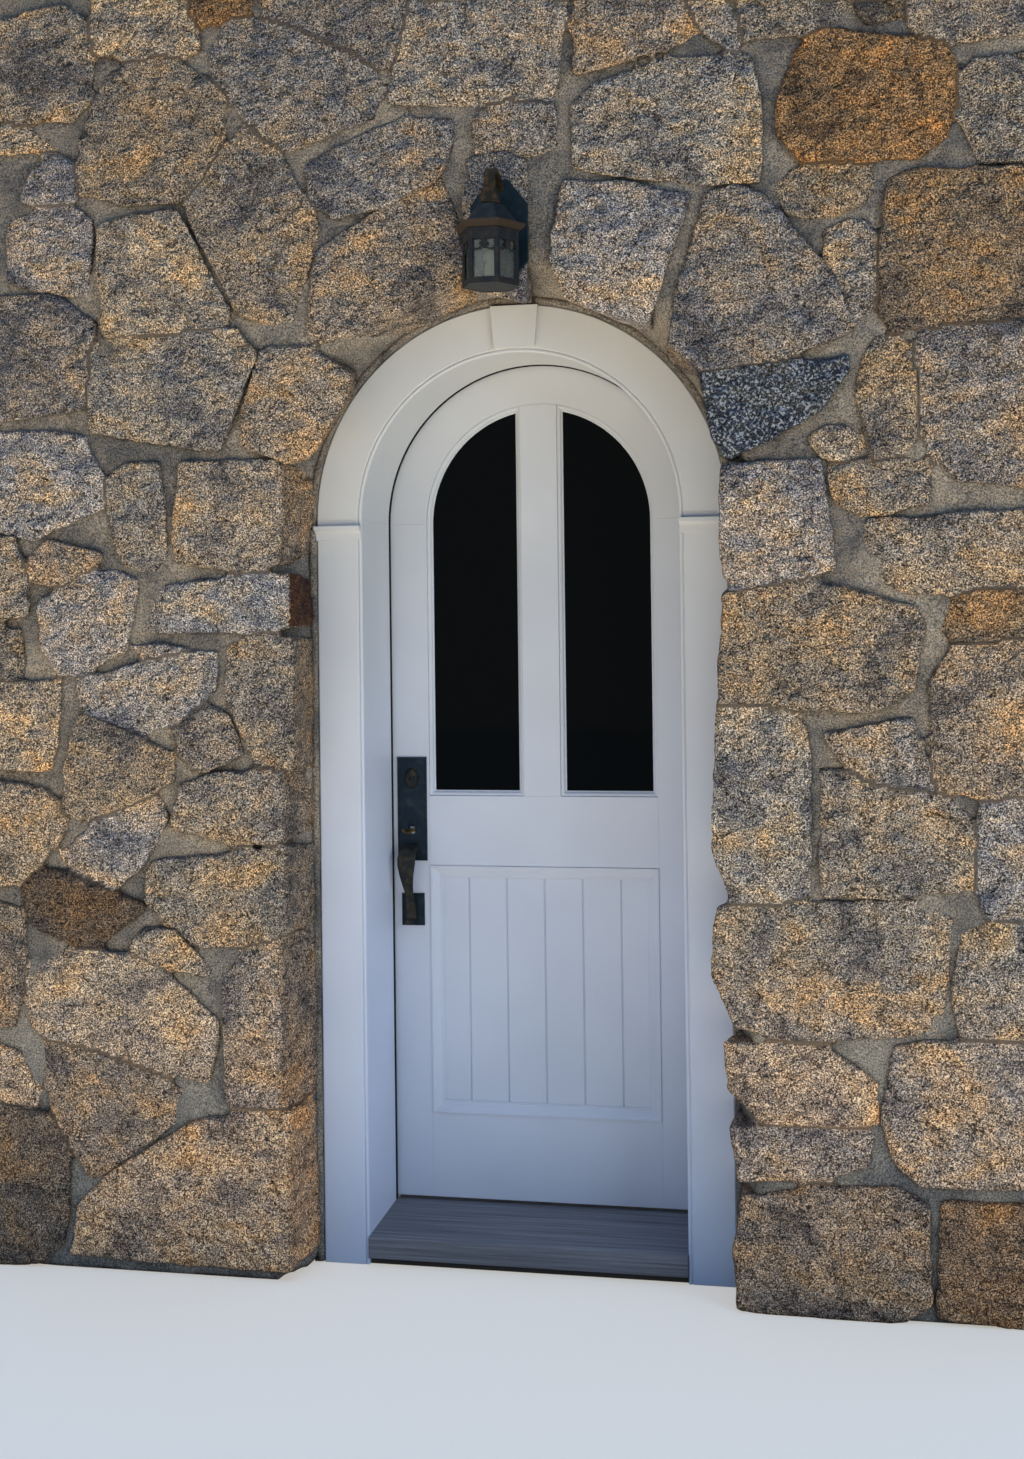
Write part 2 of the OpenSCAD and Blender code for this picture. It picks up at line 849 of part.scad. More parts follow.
// A strap that rises from the neck, bends over and runs back to the backplate
module lantern_arm() {
    bend_r = arm_rise / 2;
    bend_y = lantern_y - arm_t / 2 + bend_r;
    bend_z = neck_top + arm_rise - bend_r;
    plate_face = wall_y0 - backplate_t;
    color(lantern_color) {
        translate([lantern_x - arm_w / 2, 0, 0])
            rotate([90, 0, 90])
                linear_extrude(arm_w)
                    polygon(concat(
                        [[bend_y - bend_r, neck_top - 3]],
                        arc(bend_y, bend_z, bend_r, 180, 60, 8),
                        [[plate_face, bend_z + 4], [plate_face, bend_z - 12]],
                        arc(bend_y, bend_z, bend_r - arm_t, 60, 180, 8),
                        [[bend_y - bend_r + arm_t, neck_top - 3]]
                    ));
        at_lantern(roof_top)
            rotate_extrude($fn = 48)
                polygon([[0, 0], [17, 0], [17, 2], [22, 3], [22, 6], [18, neck_h - 2],
                    [16, neck_h], [0, neck_h]]);
    }
}

module lantern_roof() {
    flare_h = 0.5 * eave_h;
    color(lantern_color)
        at_lantern(lantern_top) {
            cylinder(d1 = lantern_w + 6, d2 = eave_w, h = flare_h, $fn = 6);
            translate([0, 0, flare_h])
                hexagon(eave_w, 0.3 * eave_h);
            translate([0, 0, 0.8 * eave_h])
                cylinder(d1 = eave_w, d2 = roof_foot_w, h = 0.2 * eave_h, $fn = 6);
            translate([0, 0, eave_h])
                cylinder(d1 = roof_foot_w, d2 = roof_top_w, h = roof_h, $fn = 6);
        }
}

lantern_floor_t = 3;
post_t = 8;
ring_t = post_t - 1; // the posts stand a little proud of the rings inside
step = 0.6; // set-back of one cage piece behind the next, posts first, then rings, then tracery
tracery_t = 3;

module lantern_ring(z, h) {
    at_lantern(z)
        difference() {
            hexagon(lantern_w - 2 * step, h);
            translate([0, 0, -1])
                hexagon(lantern_w - 2 * ring_t, h + 2);
        }
}

// Outline of one side's tracery: a rail, a quatrefoil hung from it and a swag on each side
module tracery_outline(w) {
    foil_r = band_h / 11;
    foil_z = 0.29 * band_h;
    rail_z = 0.5 * band_h;
    swag_r = 0.27 * w;
    translate([-w / 2, rail_z])
        square([w, band_h - rail_z - step]);
    for (a = [0:90:270])
        translate([1.1 * foil_r * cos(a), foil_z + 1.1 * foil_r * sin(a)])
            circle(r = foil_r, $fn = 12);
    translate([-0.4 * foil_r, foil_z - foil_r / 2])
        square([0.8 * foil_r, rail_z - foil_z + foil_r / 2 + 1]);
    for (side = [-1, 1])
        translate([side * 0.29 * w, foil_z + 1])
            intersection() {
                difference() {
                    circle(r = swag_r, $fn = 12);
                    circle(r = swag_r - 2.5, $fn = 12);
                }
                translate([-w / 2, -w])
                    square([w, w - 0.02 * w]);
            }
    // the rail's scalloped lower edge over each opening
    for (side = [-1, 1])
        translate([side * 0.29 * w, rail_z])
            difference() {
                translate([-0.21 * w, -5])
                    square([0.42 * w, 6]);
                translate([0, -8])
                    circle(r = 0.2 * w, $fn = 12);
            }
}

module lantern_cage() {
    side_w = lantern_w / 2;
    color(lantern_color) {
        at_lantern(lantern_z + step)
            hexagon(lantern_w - ring_t, lantern_floor_t - step);
        lantern_ring(lantern_z, rail_h);
        lantern_ring(lantern_top - 8, 8);
        for (a = [0:60:300])
            at_lantern(lantern_z)
                rotate([0, 0, a]) {
                    translate([lantern_w / 2 - post_t, -post_w / 2, step])
                        intersection() {
                            cube([post_t, post_w, lantern_h - 2 * step]);
                            translate([-lantern_w / 2 + post_t, post_w / 2, 0])
                                hexagon(lantern_w, lantern_h);
                        }
                    rotate([0, 0, 30])
                        translate([side_w * cos(30) - 2 * step, 0, lantern_h - band_h])
                            rotate([90, 0, -90])
                                linear_extrude(tracery_t)
                                    tracery_outline(side_w - post_w + 2);
                }
    }
}

pane_w = lantern_w - 2 * post_t - 1;
pane_t = 2.2;
pane_clear = 5;

module lantern_panes() {
    color(glass_color)
        at_lantern(lantern_z + lantern_floor_t)
            difference() {
                hexagon(pane_w, lantern_h - lantern_floor_t);
                translate([0, 0, -1])
                    hexagon(pane_w - 2 * pane_t / cos(30), lantern_h);
            }
}

module lantern_lamp() {
    pan_r = (pane_w / 2) * cos(30) - pane_t - pane_clear;
    bulb_r = 15;
    bulb_z = 62;
    color("ivory")
        at_lantern(lantern_z + lantern_floor_t)
            rotate_extrude($fn = 32)
                polygon(concat(
                    [[0, 0], [pan_r, 0], [pan_r, 4], [bulb_r - 1, 6], [bulb_r - 3, 40]],
                    arc(0, bulb_z, bulb_r, -50, 80, 8),
                    [[0, bulb_z + bulb_r + 5]]
                ));
}

wall_left();
wall_right();
wall_head_left();
wall_head_right();
wall_above();
sill_base();
sill();
inner_threshold();
jamb_left();
jamb_right();
jamb_head();
casing_left();
casing_right();
casing_arch();
keystone();
impost_left();
impost_right();
weather_seal();
inner_casing();
strike_plate();
hinge_frame_leaves();
hinge_pins();
lantern_backplate();
lantern_arm();
lantern_roof();
lantern_cage();
lantern_panes();
lantern_lamp();
lock_stile();
hinge_stile();
arch_rail();
lock_rail();
bottom_rail();
mullion();
glass_left();
glass_right();
glazing_mould_left();
glazing_mould_right();
lower_panel();
panel_mould();
door_sweep();
handle_plates();
handle_grip();
lock_cylinder();
inner_knob();
latch_faceplate();
hinge_door_leaves();
thumb_latch();
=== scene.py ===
# Arched entrance door in a rubble stone wall: stones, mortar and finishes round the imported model
import math
import random

import bpy
import numpy as np
from mathutils import Matrix, Vector


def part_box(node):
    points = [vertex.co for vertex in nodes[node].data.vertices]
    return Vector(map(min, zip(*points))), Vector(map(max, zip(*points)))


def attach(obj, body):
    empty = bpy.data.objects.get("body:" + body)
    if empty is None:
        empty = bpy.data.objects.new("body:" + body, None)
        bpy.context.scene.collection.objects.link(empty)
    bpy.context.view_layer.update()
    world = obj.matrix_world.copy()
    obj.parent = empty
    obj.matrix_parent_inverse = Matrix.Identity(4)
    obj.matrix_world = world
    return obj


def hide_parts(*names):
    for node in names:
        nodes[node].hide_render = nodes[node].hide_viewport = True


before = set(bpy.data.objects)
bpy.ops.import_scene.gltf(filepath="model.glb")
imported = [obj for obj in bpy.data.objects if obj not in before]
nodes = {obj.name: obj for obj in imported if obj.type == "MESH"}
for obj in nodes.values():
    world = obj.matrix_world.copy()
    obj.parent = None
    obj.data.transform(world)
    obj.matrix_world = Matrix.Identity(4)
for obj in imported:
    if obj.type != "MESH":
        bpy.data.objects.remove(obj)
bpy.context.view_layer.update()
print("frame loaded:", len(nodes), "nodes")

# Viewpoint, fitted to the door's own lines: metres, radians, and pixels of the photograph
viewpoint = {
    "place": Vector((1.0001, -3.8268, 1.453)),
    "turnLeft": 0.1932,
    "tiltUp": 0.0076,
    "roll": -0.0125,
    "focalPx": 1700.0,
    "centrePx": (635.8, 616.4),
    "photoPx": (1024, 1459),
    "sensorMm": 36.0,
}


def viewAxes():
    turn, tilt, roll = viewpoint["turnLeft"], viewpoint["tiltUp"], viewpoint["roll"]
    right = Vector((math.cos(turn), math.sin(turn), 0))
    ahead = Vector((-math.sin(turn), math.cos(turn), 0)) * math.cos(tilt) + Vector((0, 0, math.sin(tilt)))
    above = right.cross(ahead)
    return (
        right * math.cos(roll) + above * math.sin(roll),
        above * math.cos(roll) - right * math.sin(roll),
        ahead,
    )


def wallPoint(px, py, depthY):
    # where the sight line through a pixel meets the upright plane at that depth
    right, above, ahead = viewAxes()
    centreX, centreY = viewpoint["centrePx"]
    ray = ahead * viewpoint["focalPx"] + right * (px - centreX) + above * (centreY - py)
    point = viewpoint["place"] + ray * ((depthY - viewpoint["place"].y) / ray.y)
    return point.x, point.z


def makeCamera():
    wide, high = viewpoint["photoPx"]
    longSide = max(wide, high)
    camera = bpy.data.cameras.new("photoView")
    camera.sensor_width = viewpoint["sensorMm"]
    camera.lens = viewpoint["focalPx"] / longSide * viewpoint["sensorMm"]
    camera.shift_x = (wide / 2 - viewpoint["centrePx"][0]) / longSide
    camera.shift_y = (viewpoint["centrePx"][1] - high / 2) / longSide
    camera.clip_start, camera.clip_end = 0.05, 100
    holder = bpy.data.objects.new("photoView", camera)
    right, above, ahead = viewAxes()
    turned = Matrix((right, above, -ahead)).transposed().to_4x4()
    holder.matrix_world = Matrix.Translation(viewpoint["place"]) @ turned
    bpy.context.scene.collection.objects.link(holder)
    bpy.context.scene.camera = holder


makeCamera()
print("camera placed")


# Small helpers for modelling by operators


def activate(piece):
    bpy.ops.object.select_all(action="DESELECT")
    piece.select_set(True)
    bpy.context.view_layer.objects.active = piece


def finishWith(piece, kind, **settings):
    # adds a modifier and applies it
    activate(piece)
    modifier = piece.modifiers.new(kind.lower(), kind)
    for name, value in settings.items():
        setattr(modifier, name, value)
    bpy.ops.object.modifier_apply(modifier=modifier.name)


def lumps(name, size):
    texture = bpy.data.textures.new(name, "CLOUDS")
    texture.noise_scale = size
    return texture


def joinPieces(pieces, name):
    activate(pieces[0])
    for piece in pieces[1:]:
        piece.select_set(True)
    if len(pieces) > 1:
        bpy.ops.object.join()
    pieces[0].name = name
    pieces[0].data.name = name
    return pieces[0]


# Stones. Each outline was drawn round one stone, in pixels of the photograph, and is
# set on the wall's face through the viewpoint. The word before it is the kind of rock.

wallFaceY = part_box("wall_left")[0].y
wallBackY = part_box("wall_left")[1].y
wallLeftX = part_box("wall_left")[0].x
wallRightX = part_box("wall_right")[1].x
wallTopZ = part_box("wall_above")[1].z
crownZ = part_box("wall_above")[0].z
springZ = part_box("wall_left")[1].z
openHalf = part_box("wall_right")[0].x
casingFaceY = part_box("casing_right")[0].y
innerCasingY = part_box("inner_casing")[1].y

rockTones = {
    "tan": "9c8c7b",
    "grey": "8e8277",
    "buff": "9e8b77",
    "honey": "b19a80",
    "rust": "94704c",
    "russet": "856f58",
    "brown": "907f6c",
    "umber": "625244",
    "dark": "6a5e51",
    "slate": "3d4148",
    "pink": "96887b",
    "pale": "a0948a",
}

stoneOutlines = {
    "S1": ("buff", "0,36 31,10 59,7 80,20 86,49 82,95 67,116 0,109"),
    "S2": ("honey", "91,0 175,0 193,42 188,49 124,52 91,47"),
    "S3": ("rust", "186,0 247,0 243,10 212,16 196,20 188,13"),
    "S4": ("grey", "261,0 407,0 397,36 385,62 359,56 313,36 278,20 261,13"),
    "S5": ("grey", "229,18 284,21 353,51 377,85 366,111 287,144 261,134 238,111 204,67 209,42"),
    "S6": ("brown", "108,70 160,57 176,65 222,88 216,131 196,180 178,198 121,199 78,189 77,140 98,108"),
    "S7": ("honey", "0,127 24,131 51,142 33,147 0,147"),
    "S8": ("pale", "42,153 65,163 70,193 59,199 20,196 36,173"),
    "S9": ("buff", "240,127 271,150 297,196 312,225 304,258 284,322 258,318 235,307 209,258 190,222 "
                   "183,202 209,170"),
    "S10": ("pink", "327,155 353,137 402,116 447,122 441,157 428,178 379,202 330,214 313,196 305,167"),
    "S11": ("pale", "3,222 33,212 69,209 85,222 82,255 80,292 39,289 5,278"),
    "S12": ("honey", "95,225 131,217 171,211 186,248 222,310 219,322 163,330 104,330 98,278"),
    "S13": ("tan", "318,248 359,222 438,178 452,222 459,274 451,284 327,341 307,330 312,278"),
    "S14": ("grey", "0,297 49,297 87,323 83,353 75,405 0,421"),
    "S15": ("tan", "91,346 131,340 232,331 251,353 235,389 212,447 163,441 88,428"),
    "S16": ("buff", "261,349 304,348 351,380 343,408 317,447 281,459 240,441 242,405"),
    "S17": ("tan", "408,0 560,0 553,30 548,93 470,100 389,96 398,50"),
    "S18": ("grey", "472,118 505,100 548,108 553,140 530,150 478,148"),
    "S19": ("grey", "468,160 500,152 519,160 522,220 519,285 512,300 470,290 464,200"),
    "T1": ("tan", "577,0 682,0 692,31 662,42 576,67 574,33"),
    "T2": ("grey", "685,0 721,0 736,33 734,42 708,29"),
    "T3": ("brown", "741,0 848,0 852,16 812,24 747,33"),
    "T4b": ("dark", "855,0 902,0 899,10 868,16"),
    "T4": ("tan", "910,0 1024,0 1024,23 940,36 913,23"),
    "T5": ("tan", "592,85 669,57 701,56 747,54 757,98 757,157 754,176 695,178 649,173 626,167 572,163 "
                  "574,104"),
    "T6": ("rust", "819,29 904,39 940,42 951,62 943,131 914,152 803,155 778,127 780,95 799,49"),
    "T7": ("brown", "962,75 976,59 1024,49 1024,158 982,157 966,121"),
    "T8": ("pale", "563,183 620,183 682,196 675,212 662,235 657,278 641,323 597,313 561,297 553,278 "
                   "554,225"),
    "T9": ("brown", "775,186 793,170 866,168 874,183 865,196 825,211 790,209"),
    "T10": ("grey", "708,193 734,186 763,196 790,229 825,271 835,304 852,323 825,336 776,353 695,366 "
                    "665,343 669,320 685,271 695,235"),
    "T11": ("tan", "826,232 855,218 868,224 871,255 868,304 855,322 842,294 827,258"),
    "T12": ("russet", "888,176 914,170 1024,171 1024,300 963,307 891,325 883,313 888,245"),
    "T13": ("slate", "698,376 747,378 843,360 842,369 816,405 770,434 721,456 708,434 700,395"),
    "T14": ("brown", "878,336 904,343 912,369 910,438 904,447 876,456 868,421 860,389 865,356"),
    "T15": ("pink", "920,333 1024,323 1024,490 960,475 932,450 925,405 920,370"),
    "T16": ("honey", "811,438 832,425 858,438 856,451 825,454"),
    "U1": ("pale", "0,437 40,432 77,441 96,477 94,505 26,537 0,518"),
    "U2": ("tan", "105,480 121,467 151,465 153,492 161,550 147,572 121,563 108,521"),
    "U3": ("buff", "179,465 277,462 282,500 276,559 233,567 175,558 171,537"),
    "U4": ("buff", "27,559 45,542 94,556 61,582 32,580"),
    "U5": ("pale", "35,604 80,580 108,571 129,582 124,620 118,649 80,668 57,671 40,646"),
    "U6": ("pale", "140,595 166,588 287,577 289,623 249,628 143,628 136,612"),
    "U7": ("pale", "134,649 179,650 140,657"),
    "U8": ("pale", "75,687 112,674 179,655 210,653 209,687 172,719 140,730 80,706"),
    "U9": ("tan", "225,649 246,641 293,642 293,767 255,765 242,735 223,693"),
    "U10": ("tan", "172,735 204,708 223,719 236,754 198,770 179,751"),
    "U11": ("honey", "0,689 53,684 51,719 48,751 43,768 0,764"),
    "U12": ("brown", "77,720 112,732 166,757 167,779 137,795 80,819 65,811 64,767"),
    "U13": ("tan", "179,789 217,776 277,775 284,805 281,837 223,840 172,827"),
    "U14": ("honey", "0,783 35,792 53,805 59,830 41,853 19,881 0,891"),
    "U15": ("pale", "57,856 92,827 153,803 161,821 137,862 110,886 73,869"),
    "V1": ("umber", "21,895 29,879 48,874 105,895 137,908 118,924 99,940 64,940 35,924"),
    "V2": ("buff", "147,879 150,866 284,853 285,929 268,935 217,946 191,943 166,927 145,901"),
    "V3": ("honey", "128,946 143,933 169,933 191,959 204,975 159,965"),
    "V4": ("honey", "24,968 35,954 70,956 121,959 159,975 210,1023 212,1039 201,1080 156,1070 128,1048 "
                    "86,1037 48,1039 29,1026"),
    "V5": ("tan", "225,981 236,959 277,946 281,1019 279,1106 226,1102 223,1032"),
    "V6": ("brown", "30,1045 77,1048 118,1064 179,1096 191,1106 159,1131 89,1179 64,1137 48,1102"),
    "V7": ("brown", "0,898 16,914 19,952 16,988 6,1023 0,1024"),
    "V8": ("honey", "0,1042 13,1058 32,1093 29,1106 0,1094"),
    "V9": ("dark", "0,1107 48,1120 61,1147 62,1211 57,1243 35,1263 0,1263"),
    "V10": ("honey", "77,1208 108,1176 153,1150 198,1125 261,1118 286,1119 287,1220 289,1271 271,1270 "
                     "159,1260 70,1254"),
    "W1": ("pale", "717,469 816,462 821,521 830,566 795,563 751,579 731,588 719,572 716,553"),
    "W2": ("buff", "830,472 869,464 926,462 928,499 869,512 837,499"),
    "W3": ("tan", "869,524 945,518 1024,510 1024,579 920,591 859,579"),
    "W4": ("brown", "720,598 808,585 869,598 913,610 920,626 910,687 872,708 782,697 716,701 714,671 "
                    "720,633"),
    "W5": ("russet", "955,604 977,593 1024,604 1024,626 955,639 942,630"),
    "W6": ("tan", "712,709 782,712 800,725 805,760 795,805 806,843 805,891 773,906 723,901 708,850 "
                  "710,790"),
    "W7": ("grey", "827,738 910,722 926,787 888,787 865,780 850,762"),
    "W8": ("buff", "824,773 881,791 926,798 964,815 972,840 967,888 894,896 827,896 821,846"),
    "W9": ("buff", "955,650 1024,640 1024,787 977,795 942,786 934,735 932,687 945,668"),
    "W10": ("pale", "985,808 1024,798 1024,918 988,915 981,894"),
    "X3": ("buff", "711,912 735,910 811,917 924,905 948,924 943,998 936,1029 897,1036 793,1039 728,1024 "
                   "705,974"),
    "X5": ("tan", "965,936 1000,930 1024,932 1024,1036 965,1036 955,998"),
    "X6": ("honey", "719,1049 776,1051 828,1056 873,1087 874,1123 752,1120 724,1094"),
    "X7": ("tan", "897,1053 931,1047 1024,1055 1024,1184 924,1187 897,1163 885,1118"),
    "X8": ("tan", "726,1135 776,1135 828,1146 869,1142 862,1166 828,1177 735,1180"),
    "X9": ("brown", "738,1204 845,1194 897,1194 924,1211 928,1308 903,1332 835,1339 755,1332 733,1308 "
                    "731,1256"),
    "X10": ("russet", "945,1208 1024,1211 1024,1333 940,1320"),
    "X11": ("tan", "0,533 8,540 20,575 19,612 0,617"),
    "X12": ("brown", "0,632 12,634 17,662 15,676 0,680"),
}

returnTones = {"U6": "503425"}  # a stone whose side, seen in the reveal, is another colour than its face
paintedRevealShade = (0.80, 0.74, 0.68, 1.0)  # painted shade: the other sides there are painted a little darker and browner than the faces, for the shade they lie in

stoneWork = {
    "grow": 0.0135,  # a drawn outline is this much inside the stone's edge
    "setBack": 0.006,  # keeps the lumps inside the wall's own faces
    "uneven": 0.008,  # some stones lie deeper than others by up to this much
    "faceVoxel": 0.008,  # metres between the points of a dressed front
    "plainVoxel": 0.013,  # the same on the back, the ends and the top
    "faceDepth": 0.062,  # how far a stone is modelled into the wall
    "keptDepth": 0.046,  # how far it is kept, the rest lies in the mortar
    "edgeRound": 0.005,
    "edgeAngle": 18,  # degrees, an edge sharper than this is rounded
    "lumpSize": 0.085,
    "lumpHeight": 0.012,
    "chipSize": 0.028,
    "chipHeight": 0.007,
    "midLevel": 0.6,  # more of each lump goes in than out
    "clearance": 0.001,  # between a stone's side in the reveal and the opening's line
    "revealReach": 0.11,  # an outline edge this near the opening turns into it
    "revealFacing": 0.55,  # if it looks at the opening at least this squarely, as a cosine
    "pastCasing": 0.006,  # how far a side in the reveal runs on behind the casing's front
    "swingRoom": 0.026,  # on the inner side, between the stones and the opening's line
    "endMargin": 0.016,  # mortar left outside the last stones
    "casingGap": 0.004,  # between the inner casing and the stones that turn in to it
    "lowestDrawn": 0.004,
    "footZ": 0.001,  # everything below is cut off
    "shades": (0.9, 1.12),  # how much darker or paler a stone is than its kind
    "warmths": (0.96, 1.04),
    "patternShifts": (0, 50),
}

hammerCuts = {
    "spare": 0.01,  # round the block that a stone is cut from
    "revealSpare": 0.06,  # the same where a side leans out to the opening's line
    "shortEdge": 0.004,  # an outline edge shorter than this isn't cut
    "sideLean": (0.0, 0.12),  # slope of a side into the wall
    "corners": 3,  # knocked off each stone
    "cornerSlope": (0.15, 0.35),
    "cornerOff": (0.008, 0.02),
    "facets": 2,  # broad ones, on each face
    "facetStart": (0.05, 0.3),  # from the middle, as a share of the stone's shorter side
    "facetDrop": (0.003, 0.009),  # at the farthest corner
}

courses = {
    "seed": 7,
    "backSeed": 40,  # each face is cut from seeds of its own
    "endSeed": 80,
    "cappingSeed": 90,
    "drawnToTop": -0.35,  # left of this the drawn stones reach the wall's top
    "topFrom": -0.30,  # right of this one more course lies on them
    "topWide": (0.22, 0.42),
    "topLeast": 0.18,  # a stone narrower than this is made one with the last
    "topStop": 0.15,  # no new stone this near the wall's end
    "topGap": 0.03,
    "topJoint": (0.022, 0.035),
    "topSlant": (0, 0.01),
    "topDip": 0.004,
    "topRocks": ["tan", "grey", "buff", "brown"],
    "cutHigh": (0.14, 0.30),
    "cutLeast": 0.12,
    "cutStop": 0.05,
    "cutHalfJoint": 0.012,
    "cutSlip": 0.012,
    "splitOdds": 0.6,  # of two stones beside each other in a course
    "splitShare": (0.38, 0.62),
    "splitHalfJoint": 0.013,
    "cutRocks": ["tan", "tan", "grey", "buff", "brown", "pink"],
    "cornerGap": 0.02,  # between the stones of a face and those of a cut end
    "cappingMargin": 0.03,
}


def openingGap(x, z):
    # distance from the opening's line, positive in the masonry
    if z < springZ:
        return abs(x) - openHalf
    return math.hypot(x, z - springZ) - openHalf


def towardOpening(x, z):
    if z < springZ:
        return Vector((-math.copysign(1, x), 0, 0))
    return Vector((-x, 0, springZ - z)).normalized()


def turnsRight(a, b, c):
    return (b[0] - a[0]) * (c[1] - a[1]) - (b[1] - a[1]) * (c[0] - a[0]) <= 0


def convexOutline(points):
    # the outline without its hollows, anticlockwise
    points = sorted(set(points))
    halves = []
    for run in (points, points[::-1]):
        half = []
        for p in run:
            while len(half) > 1 and turnsRight(half[-2], half[-1], p):
                half.pop()
            half.append(p)
        halves.append(half[:-1])
    return halves[0] + halves[1]


def newStone(name, rock, outline):
    clearance = stoneWork["clearance"]
    return {"name": name, "rock": rock, "outline": convexOutline(outline), "clearance": clearance}


def drawnStones():
    wide = viewpoint["photoPx"][0]
    margin = stoneWork["endMargin"]
    stones = []
    for name, (rock, drawing) in stoneOutlines.items():
        outline = []
        for pair in drawing.split():
            px, py = (float(n) for n in pair.split(","))
            x, z = wallPoint(px, py, wallFaceY)
            # the outermost stones run on to the wall's ends and top
            if px == 0:
                x = wallLeftX + margin
            if px == wide:
                x = wallRightX - margin
            if py == 0 and x < courses["drawnToTop"]:
                z = wallTopZ - margin
            outline.append((x, max(z, stoneWork["lowestDrawn"])))
        stones.append(newStone(name, rock, outline))
    return stones


def photoTopZ(x):
    # height of the photo's top edge on the wall's face
    leftX, leftZ = wallPoint(0, 0, wallFaceY)
    rightX, rightZ = wallPoint(viewpoint["photoPx"][0], 0, wallFaceY)
    return leftZ + (rightZ - leftZ) * (x - leftX) / (rightX - leftX)


def topCourseStones(rng):
    # one more course above the photo's top edge, where the wall runs on
    endX, topZ = wallRightX - stoneWork["endMargin"], wallTopZ - stoneWork["endMargin"]
    stones = []
    x = courses["topFrom"]
    while x < wallRightX - courses["topStop"]:
        width = min(rng.uniform(*courses["topWide"]), endX - x)
        if wallRightX - x - width < courses["topLeast"]:
            width = endX - x
        leftZ, rightZ = photoTopZ(x) + courses["topGap"], photoTopZ(x + width) + courses["topGap"]
        rightSlant, leftSlant = rng.uniform(*courses["topSlant"]), rng.uniform(*courses["topSlant"])
        outline = [(x, leftZ), (x + width / 2, rightZ - courses["topDip"]), (x + width, rightZ),
                   (x + width - rightSlant, topZ), (x + leftSlant, topZ)]
        stones.append(newStone("top", rng.choice(courses["topRocks"]), outline))
        x += width + rng.uniform(*courses["topJoint"])
    return stones


def cutFaceStones(rng, low, high, foot, top):
    # plain courses for the wall's cut ends and top, with one or two stones in each
    joint, slip, halfSplit = courses["cutHalfJoint"], courses["cutSlip"], courses["splitHalfJoint"]
    stones = []
    z = foot
    while z < top - courses["cutStop"]:
        height = min(rng.uniform(*courses["cutHigh"]), top - z)
        if top - z - height < courses["cutLeast"]:
            height = top - z
        spans = [(low, high)]
        if rng.random() < courses["splitOdds"]:
            split = low + (high - low) * rng.uniform(*courses["splitShare"])
            spans = [(low, split - halfSplit), (split + halfSplit, high)]
        for a, b in spans:
            slips = [rng.uniform(-slip, slip) for _ in range(4)]
            outline = [(a, z + joint), (b, z + joint + slips[0]), (b, z + height - joint + slips[1]),
                       (a, z + height - joint)]
            stones.append(newStone("cut", rng.choice(courses["cutRocks"]), outline))
        z += height
    return stones


def edgesOf(outline):
    # the middle, the run and the outward direction of each edge
    for here, there in zip(outline, outline[1:] + outline[:1]):
        along = Vector((there[0] - here[0], 0, there[1] - here[1]))
        outward = Vector((along.z, 0, -along.x)).normalized()
        yield (here[0] + there[0]) / 2, (here[1] + there[1]) / 2, along, outward


def isRevealEdge(x, z, outward):
    near = abs(openingGap(x, z)) < stoneWork["revealReach"]
    return near and outward.dot(towardOpening(x, z)) > stoneWork["revealFacing"]


def atOpening(stone):
    return any(isRevealEdge(x, z, outward) for x, z, along, outward in edgesOf(stone["outline"]))


def cutAcross(point, normal, outward):
    # bisects what shows in edit mode and keeps the inner part
    if normal.dot(outward) < 0:
        normal = -normal
    bpy.ops.mesh.select_all(action="SELECT")
    bpy.ops.mesh.bisect(plane_co=point, plane_no=normal.normalized(), clear_outer=True, use_fill=True)


def trimOff(piece, point, outward):
    activate(piece)
    bpy.ops.object.mode_set(mode="EDIT")
    cutAcross(Vector(point), Vector(outward), Vector(outward))
    bpy.ops.object.mode_set(mode="OBJECT")


def cutSides(stone, faceY, revealY, rng):
    for midX, midZ, along, outward in edgesOf(stone["outline"]):
        if along.length < hammerCuts["shortEdge"]:
            continue
        lean = Vector((0, 1, 0)) - outward * rng.uniform(*hammerCuts["sideLean"])
        start = Vector((midX, faceY, midZ))
        if revealY and isRevealEdge(midX, midZ, outward):
            # this side leans out to the opening's line
            lean = towardOpening(midX, midZ) * (openingGap(midX, midZ) - stone["clearance"])
            lean.y = revealY - faceY
        else:
            start += outward * stoneWork["grow"]
        cutAcross(start, along.cross(lean), outward)


def knockCorners(stone, middle, faceY, rng):
    corners = stone["outline"]
    for corner in rng.sample(corners, min(len(corners), hammerCuts["corners"])):
        away = Vector((corner[0] - middle.x, 0, corner[1] - middle.z)).normalized()
        slope = rng.uniform(*hammerCuts["cornerSlope"])
        start = Vector((corner[0], faceY, corner[1])) - away * rng.uniform(*hammerCuts["cornerOff"])
        cutAcross(start, away + Vector((0, -1 / slope, 0)), away)


def splitFacets(stone, middle, span, faceY, rng):
    for _ in range(hammerCuts["facets"]):
        turn = rng.uniform(0, 2 * math.pi)
        away = Vector((math.cos(turn), 0, math.sin(turn)))
        start = Vector((middle.x, faceY, middle.z)) + away * rng.uniform(*hammerCuts["facetStart"]) * span
        beyond = max((Vector((x, faceY, z)) - start).dot(away) for x, z in stone["outline"])
        drop = rng.uniform(*hammerCuts["facetDrop"])
        cutAcross(start, away * drop / beyond + Vector((0, -1, 0)), away)


